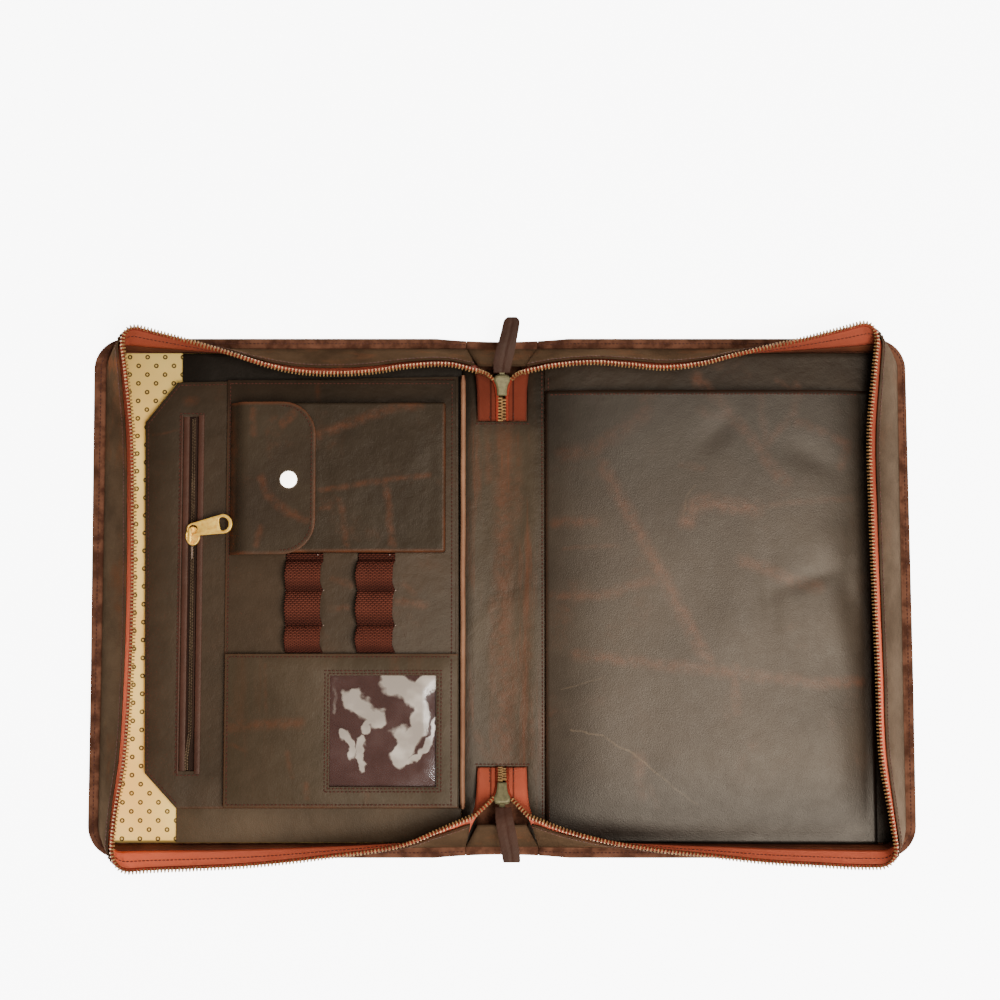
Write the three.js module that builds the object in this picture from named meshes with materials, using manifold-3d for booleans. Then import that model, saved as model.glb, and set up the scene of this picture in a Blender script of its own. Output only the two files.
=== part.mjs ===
// Leather document case lying open, seen from above. Millimetres, +Z up.
// X runs across both covers, Y along the spine. The origin is on the floor under the middle of the spine.

import * as THREE from 'three';
import { mergeVertices } from 'three/addons/utils/BufferGeometryUtils.js';
import Module from 'manifold-3d';

const wasm = await Module();
wasm.setup();

// Overall size and leathers
const HALF_W = 271;
const HALF_H = 171.4;
const COVER_R = 20;
const COVER_T = 2;
const PANEL_T = 1.4;
const CLOTH_T = 1;
const TAPE_T = 0.8;
const GAP = 0.3;
const SPINE_HALF = 48;
const SPINE_DIP = 1.6;

// Wall that carries the zip
const FLANGE = 6.2;
const WALL_T = 1.5;
const WALL_H = 24.5;
const ZIP_H = 30;
const TAPE_LOW = 8;
const TEETH = 3;
const TEETH_DEEP = 0.7;
const LAYER_GAP = 0.5;
const TAPE_HIGH = ZIP_H - TEETH / 2 - 0.6;
const BASE_HX = HALF_W - FLANGE - GAP;
const BASE_HY = HALF_H - FLANGE - GAP;
const BASE_R = 14;
const WALL_START = 24;
const EDGE_CLEAR = 3;

// Heights of the layers
const Z_FOOT = COVER_T + GAP;
const Z_BASE = Z_FOOT + CLOTH_T + GAP;
const Z_ZIP = Z_BASE + PANEL_T + GAP;
const Z_PANEL = Z_ZIP + TAPE_T + GAP;
const Z_SECOND = Z_PANEL + PANEL_T + GAP;
const Z_TOP = Z_SECOND + PANEL_T + GAP;

// Left side layout
const CLOTH_EDGE = 51.2 - BASE_HX;
const PANEL_LEFT = 27.5 - BASE_HX;
const PANEL_RIGHT = -29.2;
const PANEL_TOP = BASE_HY - 19.3;
const PANEL_LOW = 25.5 - BASE_HY;
const CHAMFER = 25;
const SLOT_X = PANEL_LEFT + 30.8;
const SLOT_W = 11.2;
const SLOT_TAPE_W = 20;
const SLOT_TOP = PANEL_TOP - 27;
const SLOT_LOW = PANEL_LOW + 24.3;
const SLIDER_Y = 39;
const SECOND_LEFT = SLOT_X + 23.7;
const POCKET_LEFT = SECOND_LEFT + 12.5;
const POCKET_L = 99;
const POCKET_R = 3;
const POCKET_RIGHT = PANEL_RIGHT - 8;
const POCKET_TOP = PANEL_TOP - 19;
const POCKET_LOW = POCKET_TOP - POCKET_L;
const POCKET_H = 11.5;
const POCKET_MOUTH_H = 8.6;
const FLAP_L = 57.2;
const FLAP_LEFT = POCKET_LEFT - 9.6;
const FLAP_RIGHT = FLAP_LEFT + FLAP_L;
const FLAP_TOP = POCKET_TOP + 0.4;
const FLAP_LOW = POCKET_LOW - 1.4;
const FLAP_R = 22;
const SNAP_IN = 17.6;
const SNAP_UP = 49.1;
const SNAP_X = FLAP_RIGHT - SNAP_IN;
const SNAP_Y = FLAP_LOW + SNAP_UP;
const SNAP_D = 12.3;
const LOOP_W = 24.2;
const LOOP_PITCH = 47.4;
const LOOP_X_LEFT = SECOND_LEFT + 52.5;
const LOOP_X_RIGHT = LOOP_X_LEFT + LOOP_PITCH;
const LOOP_TOP = 22.5;
const LOOP_RUN = 60.1;
const LOOP_T = 1.2;
const LOOP_H = 9.5;
const LOWER_LEFT = SECOND_LEFT + 0.9;
const LOWER_TOP = -38.6;
const LOWER_LOW = PANEL_LOW + 0.8;
const WINDOW_L = LOWER_LEFT + 69;
const FILM_EDGE = 3;
const WINDOW_R = PANEL_RIGHT - 13.9;
const WINDOW_TOP = LOWER_TOP - 14.2;
const WINDOW_LOW = LOWER_LOW + 13.6;
const ROLL_W = 3.2;
const ROLL_H = 6.2;

// Spine and right side layout
const SPINE_L = PANEL_RIGHT + 3;
const SPINE_R = 28.2;
const NOTCH_W = 16.9;
const RIGHT_L = SPINE_R + 0.7;
const RIGHT_R = BASE_HX - 24.5;
const RIGHT_TOP = BASE_HY - 28.9;
const RIGHT_LOW = 6.9 - BASE_HY;
const BULGE = 5.6;

// Zip sliders, the notch of the spine lining in front of them, and the leather pulls behind them
const SLIDER_TOP_Y = BASE_HY - 26.5;
const SLIDER_LOW_Y = 33.9 - BASE_HY;
const NOTCH_TOP = SLIDER_TOP_Y - 22.7;
const NOTCH_LOW = SLIDER_LOW_Y + 18.7;
const END_CLEAR = 0.7;
const SLIDER_Z = 17;
const SLIDER_L = 13.8;
const SLIDER_W = 10.9;
const SLIDER_TAIL = 6.2;
const SLIDER_T = 4.6;
const PULL_W = 10.8;
const PULL_T = 2.4;
const PULL_START = 9.8;
const PULL_L_TOP = 34;
const PULL_L_LOW = 31.6;
const PULL_RISE = 9;
const END_TAPER = 8;
const END_SHORT = 3;

const leather = (color) => new THREE.MeshStandardMaterial({ color, roughness: 0.45, metalness: 0 });
const cloth = (color) => new THREE.MeshStandardMaterial({ color, roughness: 0.85, metalness: 0 });
const brass = (color) => new THREE.MeshStandardMaterial({ color, roughness: 0.3, metalness: 1 });
const LEATHER = 0x4e4032;
const TAPE = 0x963e2a;

const root = new THREE.Group();

function add(name, geometry, material, parent = root) {
  const mesh = new THREE.Mesh(geometry, material);
  mesh.name = name;
  parent.add(mesh);
  return mesh;
}

// A wall between two rows of points at each station, closed along its edges and at both ends.
function sheet(stations) {
  const n = stations[0].outer.length;
  const rows = stations.map((s) => [...s.outer, ...[...s.inner].reverse()]);
  const size = 2 * n;
  const index = [];
  rows.slice(1).forEach((row, i) => {
    for (let k = 0; k < size; k++) {
      const a = i * size + k;
      const b = i * size + ((k + 1) % size);
      if (k >= n && k < size - 1) index.push(a, b, b + size, a, b + size, a + size);
      else index.push(a, b, a + size, b, b + size, a + size);
    }
  });
  const last = (rows.length - 1) * size;
  for (let k = 0; k < n - 1; k++) {
    const far = size - 1 - k;
    index.push(k, far, k + 1, k + 1, far, far - 1);
    index.push(last + k, last + k + 1, last + far, last + k + 1, last + far - 1, last + far);
  }
  const geometry = new THREE.BufferGeometry();
  geometry.setAttribute('position', new THREE.Float32BufferAttribute(rows.flat(2), 3));
  geometry.setIndex(index);
  return outward(geometry);
}

// Turns the faces round when they point into the solid.
function outward(geometry) {
  const p = geometry.getAttribute('position');
  const index = Array.from(geometry.getIndex().array);
  const at = (i) => new THREE.Vector3().fromBufferAttribute(p, index[i]);
  let volume = 0;
  for (let i = 0; i < index.length; i += 3) volume += at(i).dot(at(i + 1).cross(at(i + 2)));
  if (volume < 0) {
    for (let i = 0; i < index.length; i += 3) [index[i + 1], index[i + 2]] = [index[i + 2], index[i + 1]];
    geometry.setIndex(index);
  }
  geometry.computeVertexNormals();
  return geometry;
}

function solid(geometry) {
  const bare = geometry.index ? geometry.clone() : geometry;
  bare.deleteAttribute('normal');
  bare.deleteAttribute('uv');
  const merged = mergeVertices(bare, 1e-4);
  const vertProperties = new Float32Array(merged.getAttribute('position').array);
  const triVerts = new Uint32Array(merged.getIndex().array);
  return new wasm.Manifold(new wasm.Mesh({ numProp: 3, vertProperties, triVerts }));
}

function geometryOf(manifold) {
  const mesh = manifold.getMesh();
  const geometry = new THREE.BufferGeometry();
  geometry.setAttribute('position', new THREE.BufferAttribute(new Float32Array(mesh.vertProperties), 3));
  geometry.setIndex(Array.from(mesh.triVerts));
  geometry.computeVertexNormals();
  return geometry;
}

function slab(shape, z, t, curveSegments = 6) {
  const geometry = new THREE.ExtrudeGeometry(shape, { depth: t, bevelEnabled: false, curveSegments });
  geometry.translate(0, 0, z);
  return geometry;
}

// Rectangle with its own corner radius at each corner: upper left, upper right, lower right, lower left.
function rectangle(x0, x1, y0, y1, radii = [0, 0, 0, 0], S = THREE.Shape) {
  const [ul, ur, lr, ll] = radii;
  const s = new S();
  s.moveTo(x0 + ll, y0);
  s.lineTo(x1 - lr, y0);
  if (lr) s.absarc(x1 - lr, y0 + lr, lr, -Math.PI / 2, 0);
  s.lineTo(x1, y1 - ur);
  if (ur) s.absarc(x1 - ur, y1 - ur, ur, 0, Math.PI / 2);
  s.lineTo(x0 + ul, y1);
  if (ul) s.absarc(x0 + ul, y1 - ul, ul, Math.PI / 2, Math.PI);
  s.lineTo(x0, y0 + ll);
  if (ll) s.absarc(x0 + ll, y0 + ll, ll, Math.PI, 1.5 * Math.PI);
  return s;
}

function outline(points, S = THREE.Shape) {
  return new S(points.map(([x, y]) => new THREE.Vector2(x, y)));
}

// Lean of the zip away from the foot of the wall, as shares of the wall height, at shares of the way round.
const LEAN = {
  left: [
    { at: 0.0, x: 0.25, y: -0.57 },
    { at: 0.024, x: 0.28, y: -0.43 },
    { at: 0.059, x: 0.29, y: -0.47 },
    { at: 0.089, x: 0.3, y: -0.58 },
    { at: 0.119, x: 0.31, y: -0.62 },
    { at: 0.149, x: 0.32, y: -0.58 },
    { at: 0.178, x: 0.36, y: -0.43 },
    { at: 0.208, x: 0.41, y: -0.18 },
    { at: 0.238, x: 0.46, y: 0.05 },
    { at: 0.267, x: 0.49, y: 0.26 },
    { at: 0.297, x: 0.4, y: 0.46 },
    { at: 0.33, x: 0.54, y: 0.31 },
    { at: 0.378, x: 0.69, y: 0.2 },
    { at: 0.439, x: 0.74, y: 0.05 },
    { at: 0.5, x: 0.76, y: -0.09 },
    { at: 0.561, x: 0.73, y: -0.22 },
    { at: 0.622, x: 0.64, y: -0.33 },
    { at: 0.67, x: 0.45, y: -0.39 },
    { at: 0.703, x: 0.39, y: -0.51 },
    { at: 0.733, x: 0.46, y: -0.47 },
    { at: 0.762, x: 0.44, y: -0.44 },
    { at: 0.807, x: 0.42, y: -0.38 },
    { at: 0.851, x: 0.39, y: -0.27 },
    { at: 0.881, x: 0.37, y: -0.17 },
    { at: 0.911, x: 0.35, y: -0.07 },
    { at: 0.941, x: 0.31, y: 0.08 },
    { at: 0.97, x: 0.23, y: 0.37 },
    { at: 1.0, x: 0.15, y: 0.67 },
  ],
  right: [
    { at: 0.0, x: -0.33, y: -0.59 },
    { at: 0.024, x: -0.38, y: -0.46 },
    { at: 0.059, x: -0.4, y: -0.38 },
    { at: 0.089, x: -0.42, y: -0.43 },
    { at: 0.119, x: -0.43, y: -0.49 },
    { at: 0.149, x: -0.45, y: -0.41 },
    { at: 0.178, x: -0.49, y: -0.22 },
    { at: 0.208, x: -0.53, y: -0.03 },
    { at: 0.238, x: -0.56, y: 0.15 },
    { at: 0.267, x: -0.58, y: 0.35 },
    { at: 0.297, x: -0.49, y: 0.56 },
    { at: 0.33, x: -0.59, y: 0.43 },
    { at: 0.378, x: -0.72, y: 0.31 },
    { at: 0.439, x: -0.72, y: 0.16 },
    { at: 0.5, x: -0.69, y: 0.02 },
    { at: 0.561, x: -0.65, y: -0.1 },
    { at: 0.622, x: -0.61, y: -0.2 },
    { at: 0.67, x: -0.43, y: -0.25 },
    { at: 0.703, x: -0.29, y: -0.38 },
    { at: 0.733, x: -0.32, y: -0.4 },
    { at: 0.762, x: -0.32, y: -0.36 },
    { at: 0.807, x: -0.33, y: -0.29 },
    { at: 0.851, x: -0.33, y: -0.16 },
    { at: 0.881, x: -0.33, y: -0.08 },
    { at: 0.911, x: -0.32, y: 0.03 },
    { at: 0.941, x: -0.31, y: 0.18 },
    { at: 0.97, x: -0.28, y: 0.39 },
    { at: 1.0, x: -0.2, y: 0.67 },
  ],
};

function smooth(rows, t, key) {
  const last = rows.length - 1;
  let i = rows.findIndex((r) => r.at > t) - 1;
  if (i < 0) i = t <= 0 ? 0 : last - 1;
  const a = rows[i];
  const b = rows[i + 1];
  const before = rows[Math.max(i - 1, 0)];
  const after = rows[Math.min(i + 2, last)];
  const w = b.at - a.at;
  const s = Math.min(Math.max((t - a.at) / w, 0), 1);
  const ma = ((b[key] - before[key]) / (b.at - before.at)) * w;
  const mb = ((after[key] - a[key]) / (after.at - a.at)) * w;
  const s2 = s * s;
  const s3 = s2 * s;
  return (2 * s3 - 3 * s2 + 1) * a[key] + (s3 - 2 * s2 + s) * ma + (3 * s2 - 2 * s3) * b[key] + (s3 - s2) * mb;
}

// Foot of the wall on the rounded rectangle, with the direction out of the case.
const TOP_RUN = BASE_HX - BASE_R - WALL_START;
const CORNER_RUN = (BASE_R * Math.PI) / 2;
const SIDE_RUN = 2 * (BASE_HY - BASE_R);
const FULL_RUN = 2 * TOP_RUN + 2 * CORNER_RUN + SIDE_RUN;

function foot(side, t) {
  const flip = t > 0.5 ? -1 : 1;
  const s = (t > 0.5 ? 1 - t : t) * FULL_RUN;
  let turn = 0;
  if (s > TOP_RUN) turn = Math.min((s - TOP_RUN) / BASE_R, Math.PI / 2);
  const down = Math.max(s - TOP_RUN - CORNER_RUN, 0);
  const x = WALL_START + Math.min(s, TOP_RUN) + BASE_R * Math.sin(turn);
  const y = BASE_HY - BASE_R + BASE_R * Math.cos(turn) - down;
  return {
    base: new THREE.Vector3(side * x, flip * y, 0),
    out: new THREE.Vector3(side * Math.sin(turn), flip * Math.cos(turn), 0),
  };
}

// One station of the wall: its foot, the direction up the wall and the direction through its thickness.
function station(name, t) {
  const side = name === 'left' ? -1 : 1;
  const { base, out } = foot(side, t);
  const x = smooth(LEAN[name], t, 'x');
  const y = smooth(LEAN[name], t, 'y');
  const up = new THREE.Vector3(x, y, Math.sqrt(1 - x * x - y * y));
  const along = new THREE.Vector3(out.y, -out.x, 0);
  const through = along.clone().cross(up).normalize();
  if (through.dot(out) > 0) through.negate();
  base.z = Z_FOOT + WALL_T;
  return { base, out, up, through };
}

// Shares of the way round where stations stand, closer together in the corners.
const RUNS = [
  { to: TOP_RUN / FULL_RUN, steps: 14 },
  { to: (TOP_RUN + CORNER_RUN) / FULL_RUN, steps: 7 },
  { to: (TOP_RUN + CORNER_RUN + SIDE_RUN) / FULL_RUN, steps: 16 },
  { to: 1 - TOP_RUN / FULL_RUN, steps: 7 },
  { to: 1, steps: 14 },
];
const STEPS = [0];
for (const { to, steps } of RUNS) {
  const from = STEPS[STEPS.length - 1];
  for (let i = 1; i <= steps; i++) STEPS.push(from + ((to - from) * i) / steps);
}
const LINING_FOOT = Z_FOOT + PANEL_T + GAP;
const spot = (s, high, deep) => s.base.clone().addScaledVector(s.up, high).addScaledVector(s.through, deep);
const flat = (v) => [v.x, v.y, v.z];

function gusset(name) {
  return sheet(STEPS.map((t) => {
    const s = station(name, t);
    const near = Math.abs(s.base.x) < SPINE_HALF ? SPINE_DIP : 0;
    const edge = s.base.clone().addScaledVector(s.out, FLANGE - near);
    const drop = (Z_FOOT - s.base.z - WALL_T * s.through.z) / s.up.z;
    return {
      outer: [flat(edge), flat(s.base), flat(spot(s, TAPE_LOW, 0)), flat(spot(s, WALL_H, 0))],
      inner: [
        [edge.x, edge.y, Z_FOOT],
        flat(spot(s, drop, WALL_T)),
        flat(spot(s, TAPE_LOW, WALL_T)),
        flat(spot(s, WALL_H, WALL_T)),
      ],
    };
  }));
}

function band(name, low, mids, high, near, far, extra = []) {
  const main = STEPS.map((t) => {
    const s = station(name, t);
    const lift = Math.max(...[near, far].map((deep) => (LINING_FOOT - s.base.z - deep * s.through.z) / s.up.z));
    const heights = [Math.max(low, lift), ...mids, high];
    return {
      outer: heights.map((h) => flat(spot(s, h, near))),
      inner: heights.map((h) => flat(spot(s, h, far))),
    };
  });
  const [first = [], last = []] = extra;
  return sheet([...first, ...main, ...last]);
}

// Flat ends of the zip tape, from the notch round the slider to the wall: edge e and rim f.
// Across in slider widths, up in slider heights, along in shares of the chain below the slider and in slider
// lengths past it.
const TAPE_END = [
  { ex: 0.312, ey: -1, ez: 0.259, fx: 1.459, fy: -1, fz: 0.253 },
  { ex: 0.312, ey: -0.655, ez: 0.565, fx: 1.486, fy: -0.7, fz: 0.376 },
  { ex: 0.349, ey: -0.364, ez: 0.776, fx: 1.505, fy: -0.4, fz: 0.471 },
  { ex: 0.578, ey: -0.2, ez: 0.882, fx: 1.523, fy: -0.0636, fz: 0.529 },
  { ex: 0.596, ey: 0.145, ez: 1.02, fx: 1.624, fy: 0.594, fz: 0.576 },
  { ex: 0.881, ey: 0.449, ez: 1.19, fx: 1.78, fy: 1.06, fz: 0.647 },
];
const MID_SHARE = (WALL_H - TAPE_LOW) / (TAPE_HIGH - TAPE_LOW);

function tapeEnd(side, upper) {
  const flip = upper ? 1 : -1;
  const centre = upper ? SLIDER_TOP_Y : -SLIDER_LOW_Y;
  const run = centre - (upper ? NOTCH_TOP : -NOTCH_LOW) - END_CLEAR;
  const along = (share) => flip * (centre + share * (share < 0 ? run : SLIDER_L));
  const place = (x, y, z) => new THREE.Vector3(side * x * SLIDER_W, along(y), z * SLIDER_Z);
  const edge = TAPE_END.map((r) => place(r.ex, r.ey, r.ez));
  const rim = TAPE_END.map((r) => place(r.fx, r.fy, r.fz));
  const rows = TAPE_END.map((r, i) => {
    const a = Math.max(i - 1, 0);
    const b = Math.min(i + 1, TAPE_END.length - 1);
    const travel = edge[b].clone().add(rim[b]).sub(edge[a]).sub(rim[a]);
    const n = edge[i].clone().sub(rim[i]).cross(travel).normalize();
    if (n.z < 0) n.negate();
    const line = [0, MID_SHARE, 1].map((k) => rim[i].clone().lerp(edge[i], k));
    const shifted = (d) => line.map((q) => flat(q.clone().addScaledVector(n, d)));
    return { outer: shifted(-TAPE_T / 2), inner: shifted(TAPE_T / 2) };
  });
  return upper ? rows : rows.reverse();
}

const COVER_CUT = SPINE_HALF + GAP;
add('spine_panel', slab(rectangle(-SPINE_HALF, SPINE_HALF, SPINE_DIP - HALF_H, HALF_H - SPINE_DIP), 0, COVER_T),
  leather(LEATHER));
add('left_cover', slab(rectangle(-HALF_W, -COVER_CUT, -HALF_H, HALF_H, [COVER_R, 0, 0, COVER_R]), 0, COVER_T),
  leather(LEATHER));
add('right_cover', slab(rectangle(COVER_CUT, HALF_W, -HALF_H, HALF_H, [0, COVER_R, COVER_R, 0]), 0, COVER_T),
  leather(LEATHER));

for (const name of ['left', 'right']) {
  const side = name === 'left' ? -1 : 1;
  const near = WALL_T + LAYER_GAP;
  const ends = [tapeEnd(side, true), tapeEnd(side, false)];
  add(`${name}_gusset`, gusset(name), leather(LEATHER));
  const lining = band(name, 0, [], TAPE_LOW - GAP, near, near + CLOTH_T);
  add(`${name}_gusset_lining`, lining, cloth(0x6a5238));
  add(`${name}_zip_tape`, band(name, TAPE_LOW, [WALL_H], TAPE_HIGH, near, near + TAPE_T, ends), cloth(TAPE));
  const teeth = band(name, ZIP_H - TEETH / 2, [], ZIP_H + TEETH / 2, TEETH_DEEP, TEETH_DEEP + TEETH);
  add(`${name}_zip_teeth`, teeth, brass(0xb98a52));
}

// Wall pieces that close the case at both ends of the spine.
function endGusset(upper) {
  const flip = upper ? 1 : -1;
  const lean = upper ? -0.64 : -0.72;
  const up = Math.sqrt(1 - lean * lean);
  const rows = [-1, -0.6, -0.2, 0.2, 0.6, 1].map((k) => {
    const x = k * (WALL_START - GAP);
    const top = k * (WALL_START - GAP - END_TAPER);
    const y = BASE_HY;
    const z = Z_FOOT + WALL_T;
    const p = (px, py, pz) => [px, flip * py, pz];
    const tip = [y + lean * (WALL_H - END_SHORT), z + up * (WALL_H - END_SHORT)];
    return {
      outer: [p(x, y + FLANGE - SPINE_DIP, z), p(x, y, z), p(top, tip[0], tip[1])],
      inner: [
        p(x, y + FLANGE - SPINE_DIP, Z_FOOT),
        p(x, y - WALL_T, Z_FOOT),
        p(top, tip[0] - up * WALL_T, tip[1] + lean * WALL_T),
      ],
    };
  });
  return sheet(rows);
}
add('top_end_gusset', endGusset(true), leather(LEATHER));
add('bottom_end_gusset', endGusset(false), leather(LEATHER));

// Zip sliders with a lug for the leather pull, and the closed chain between slider and spine
function sliderShape() {
  const m = SLIDER_L / 2;
  const w = SLIDER_W / 2;
  const t = SLIDER_TAIL / 2;
  const s = new THREE.Shape();
  s.moveTo(-t, -m);
  s.lineTo(t, -m);
  s.quadraticCurveTo(t + 0.6, -m * 0.1, w, m * 0.5);
  s.quadraticCurveTo(w * 0.9, m * 0.9, 0, m);
  s.quadraticCurveTo(-w * 0.9, m * 0.9, -w, m * 0.5);
  s.quadraticCurveTo(-t - 0.6, -m * 0.1, -t, -m);
  return s;
}
function slider(upper) {
  const body = slab(sliderShape(), -SLIDER_T / 2, SLIDER_T, 5);
  const lug = new THREE.BoxGeometry(4.4, 4.4, 1.8);
  lug.translate(0, SLIDER_L / 2 + 1.2, -SLIDER_T / 2 + 0.9);
  const geometry = geometryOf(solid(body).add(solid(lug)));
  const group = new THREE.Group();
  group.position.set(0, upper ? SLIDER_TOP_Y : SLIDER_LOW_Y, SLIDER_Z);
  group.rotation.set(0, 0, upper ? 0 : Math.PI);
  add(upper ? 'top_slider' : 'bottom_slider', geometry, brass(0x8a7f52), group).rotation.x = 0.32;
  root.add(group);
}
slider(true);
slider(false);

const CHAIN_W = 5.8;
const CHAIN_T = 2.4;
const CHAIN_LOW_Z = 5;
function chain(upper) {
  const flip = upper ? 1 : -1;
  const centre = upper ? SLIDER_TOP_Y : -SLIDER_LOW_Y;
  const start = { y: centre - SLIDER_L / 2 - 3 * GAP, z: SLIDER_Z - 2.6 };
  const end = { y: (upper ? NOTCH_TOP : -NOTCH_LOW) + END_CLEAR, z: CHAIN_LOW_Z };
  const half = CHAIN_W / 2;
  const row = ({ y, z }) => ({
    outer: [[-half, flip * y, z + CHAIN_T / 2], [half, flip * y, z + CHAIN_T / 2]],
    inner: [[-half, flip * y, z - CHAIN_T / 2], [half, flip * y, z - CHAIN_T / 2]],
  });
  return sheet([row(start), row({ y: (start.y + end.y) / 2, z: (start.z + end.z) / 2 }), row(end)]);
}
add('top_zip_chain', chain(true), brass(0xd9b37c));
add('bottom_zip_chain', chain(false), brass(0xd9b37c));

// Leather pulls: centre line of each strip from the slider outwards. Across in pull widths, along in pull
// lengths, up in shares of the rise.
const PULL_PATH = {
  top: [
    { x: -0.0185, y: 0, z: 0.444, w: 0.9 },
    { x: 0.0556, y: 0.171, z: 0.733, w: 0.96 },
    { x: 0.185, y: 0.362, z: 0.889, w: 1 },
    { x: 0.389, y: 0.594, z: 0.978, w: 0.98 },
    { x: 0.537, y: 0.818, z: 1, w: 0.98 },
    { x: 0.593, y: 0.935, z: 1, w: 0.9 },
    { x: 0.611, y: 1, z: 1, w: 0.55 },
  ],
  bottom: [
    { x: 0.0926, y: 0, z: 0.444, w: 0.82 },
    { x: 0.13, y: 0.165, z: 0.667, w: 0.94 },
    { x: 0.241, y: 0.386, z: 0.778, w: 0.98 },
    { x: 0.389, y: 0.62, z: 0.844, w: 0.98 },
    { x: 0.537, y: 0.848, z: 0.889, w: 0.98 },
    { x: 0.583, y: 0.968, z: 0.889, w: 0.96 },
    { x: 0.593, y: 1, z: 0.889, w: 0.84 },
  ],
};
function pull(upper) {
  const flip = upper ? 1 : -1;
  const from = (upper ? SLIDER_TOP_Y : -SLIDER_LOW_Y) + PULL_START;
  const length = upper ? PULL_L_TOP : PULL_L_LOW;
  return sheet(PULL_PATH[upper ? 'top' : 'bottom'].map((r) => {
    const half = (PULL_W / 2) * r.w;
    const x = r.x * PULL_W;
    const y = flip * (from + r.y * length);
    const z = SLIDER_Z + r.z * PULL_RISE;
    return {
      outer: [[x - half, y, z + PULL_T / 2], [x + half, y, z + PULL_T / 2]],
      inner: [[x - half, y, z - PULL_T / 2], [x + half, y, z - PULL_T / 2]],
    };
  }));
}
add('top_pull', pull(true), leather(0x4b2d23));
add('bottom_pull', pull(false), leather(0x4b2d23));

// Linings and base panels inside the walls
const INSIDE_X = BASE_HX - EDGE_CLEAR;
const INSIDE_Y = BASE_HY - EDGE_CLEAR;
const IN_R = BASE_R - EDGE_CLEAR;
const liningShape = rectangle(-INSIDE_X, SPINE_L - GAP, -INSIDE_Y, INSIDE_Y, [IN_R, 0, 0, IN_R]);
add('left_lining', slab(liningShape, Z_FOOT, CLOTH_T, 4), cloth(0xdcc6a0));
const innerShape = rectangle(CLOTH_EDGE, SPINE_L - GAP, EDGE_CLEAR - INSIDE_Y, INSIDE_Y - EDGE_CLEAR);
add('left_inner_panel', slab(innerShape, Z_BASE, PANEL_T), leather(0x2e2620));
const rightShape = rectangle(SPINE_R + GAP, INSIDE_X, -INSIDE_Y, INSIDE_Y, [0, IN_R, IN_R, 0]);
add('right_inner_panel', slab(rightShape, Z_FOOT, PANEL_T, 4), leather(0x3c2e24));

const spineShape = outline([
  [SPINE_L, -INSIDE_Y], [-NOTCH_W, -INSIDE_Y], [-NOTCH_W, NOTCH_LOW], [NOTCH_W, NOTCH_LOW],
  [NOTCH_W, -INSIDE_Y], [SPINE_R, -INSIDE_Y], [SPINE_R, INSIDE_Y], [NOTCH_W, INSIDE_Y],
  [NOTCH_W, NOTCH_TOP], [-NOTCH_W, NOTCH_TOP], [-NOTCH_W, INSIDE_Y], [SPINE_L, INSIDE_Y],
]);
add('spine_lining', slab(spineShape, Z_FOOT, PANEL_T), leather(0x5a5041));

// Zipped pocket panel on the left
const panelShape = outline([
  [PANEL_LEFT + CHAMFER * 0.85, PANEL_TOP - 4], [PANEL_LEFT, PANEL_TOP - 31], [PANEL_LEFT + 3, PANEL_LOW + 23],
  [PANEL_LEFT + 24, PANEL_LOW], [PANEL_RIGHT + 1.6, PANEL_LOW], [PANEL_RIGHT, PANEL_TOP],
].reverse());
const slotHole = rectangle(SLOT_X - SLOT_W / 2, SLOT_X + SLOT_W / 2, SLOT_LOW, SLOT_TOP, undefined, THREE.Path);
panelShape.holes.push(slotHole);
add('left_pocket_panel', slab(panelShape, Z_PANEL, PANEL_T), leather(0x54493a));
const tapeHalf = SLOT_TAPE_W / 2;
const pocketTape = rectangle(SLOT_X - tapeHalf, SLOT_X + tapeHalf, SLOT_LOW - 5, SLOT_TOP + 5);
add('pocket_zip_tape', slab(pocketTape, Z_ZIP, TAPE_T), cloth(0x5a352c));

// Coil: one strip below the slider, forked into two above it
const COIL_HALF = 2.3;
const coilShape = outline([
  [SLOT_X - COIL_HALF, SLOT_LOW + 1], [SLOT_X + COIL_HALF, SLOT_LOW + 1], [SLOT_X + COIL_HALF, SLOT_TOP - 1],
  [SLOT_X + 0.5, SLOT_TOP - 1], [SLOT_X + 0.5, SLIDER_Y], [SLOT_X - 0.5, SLIDER_Y],
  [SLOT_X - 0.5, SLOT_TOP - 1], [SLOT_X - COIL_HALF, SLOT_TOP - 1],
]);
add('pocket_zip_coil', slab(coilShape, Z_PANEL, PANEL_T - 0.2), cloth(0x6b4a38));

// Slider of the pocket zip: oval plate with a bridge along the zip
const PLATE_X = 10;
const PLATE_Y = 13;
const PLATE_T = 1.2;
const BRIDGE_X = 2;
const BRIDGE_Y = 8.8;
const POST = 1.5;
const BRIDGE_GAP = 3.5;
const BAR_T = 1.1;
const Z_PLATE = Z_PANEL + PANEL_T + GAP;
const EYE_POST_Y = BRIDGE_Y / 2 - POST / 2;
const BRIDGE_CX = -1;
const plate = new THREE.Shape();
plate.absellipse(0, 0, PLATE_X / 2, PLATE_Y / 2, 0, 2 * Math.PI);
const bridge = outline([
  [-BRIDGE_Y / 2, -0.4], [-BRIDGE_Y / 2, BRIDGE_GAP + BAR_T - 0.8], [-BRIDGE_Y / 2 + 0.8, BRIDGE_GAP + BAR_T],
  [BRIDGE_Y / 2 - 0.8, BRIDGE_GAP + BAR_T], [BRIDGE_Y / 2, BRIDGE_GAP + BAR_T - 0.8], [BRIDGE_Y / 2, -0.4],
  [BRIDGE_Y / 2 - POST, -0.4], [BRIDGE_Y / 2 - POST, BRIDGE_GAP], [POST - BRIDGE_Y / 2, BRIDGE_GAP],
  [POST - BRIDGE_Y / 2, -0.4],
].reverse());
const bridgeGeometry = new THREE.ExtrudeGeometry(bridge, { depth: BRIDGE_X, bevelEnabled: false });
bridgeGeometry.translate(0, 0, -BRIDGE_X / 2);
bridgeGeometry.rotateX(Math.PI / 2);
bridgeGeometry.rotateZ(Math.PI / 2);
bridgeGeometry.translate(BRIDGE_CX, 0.2, PLATE_T);
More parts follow.
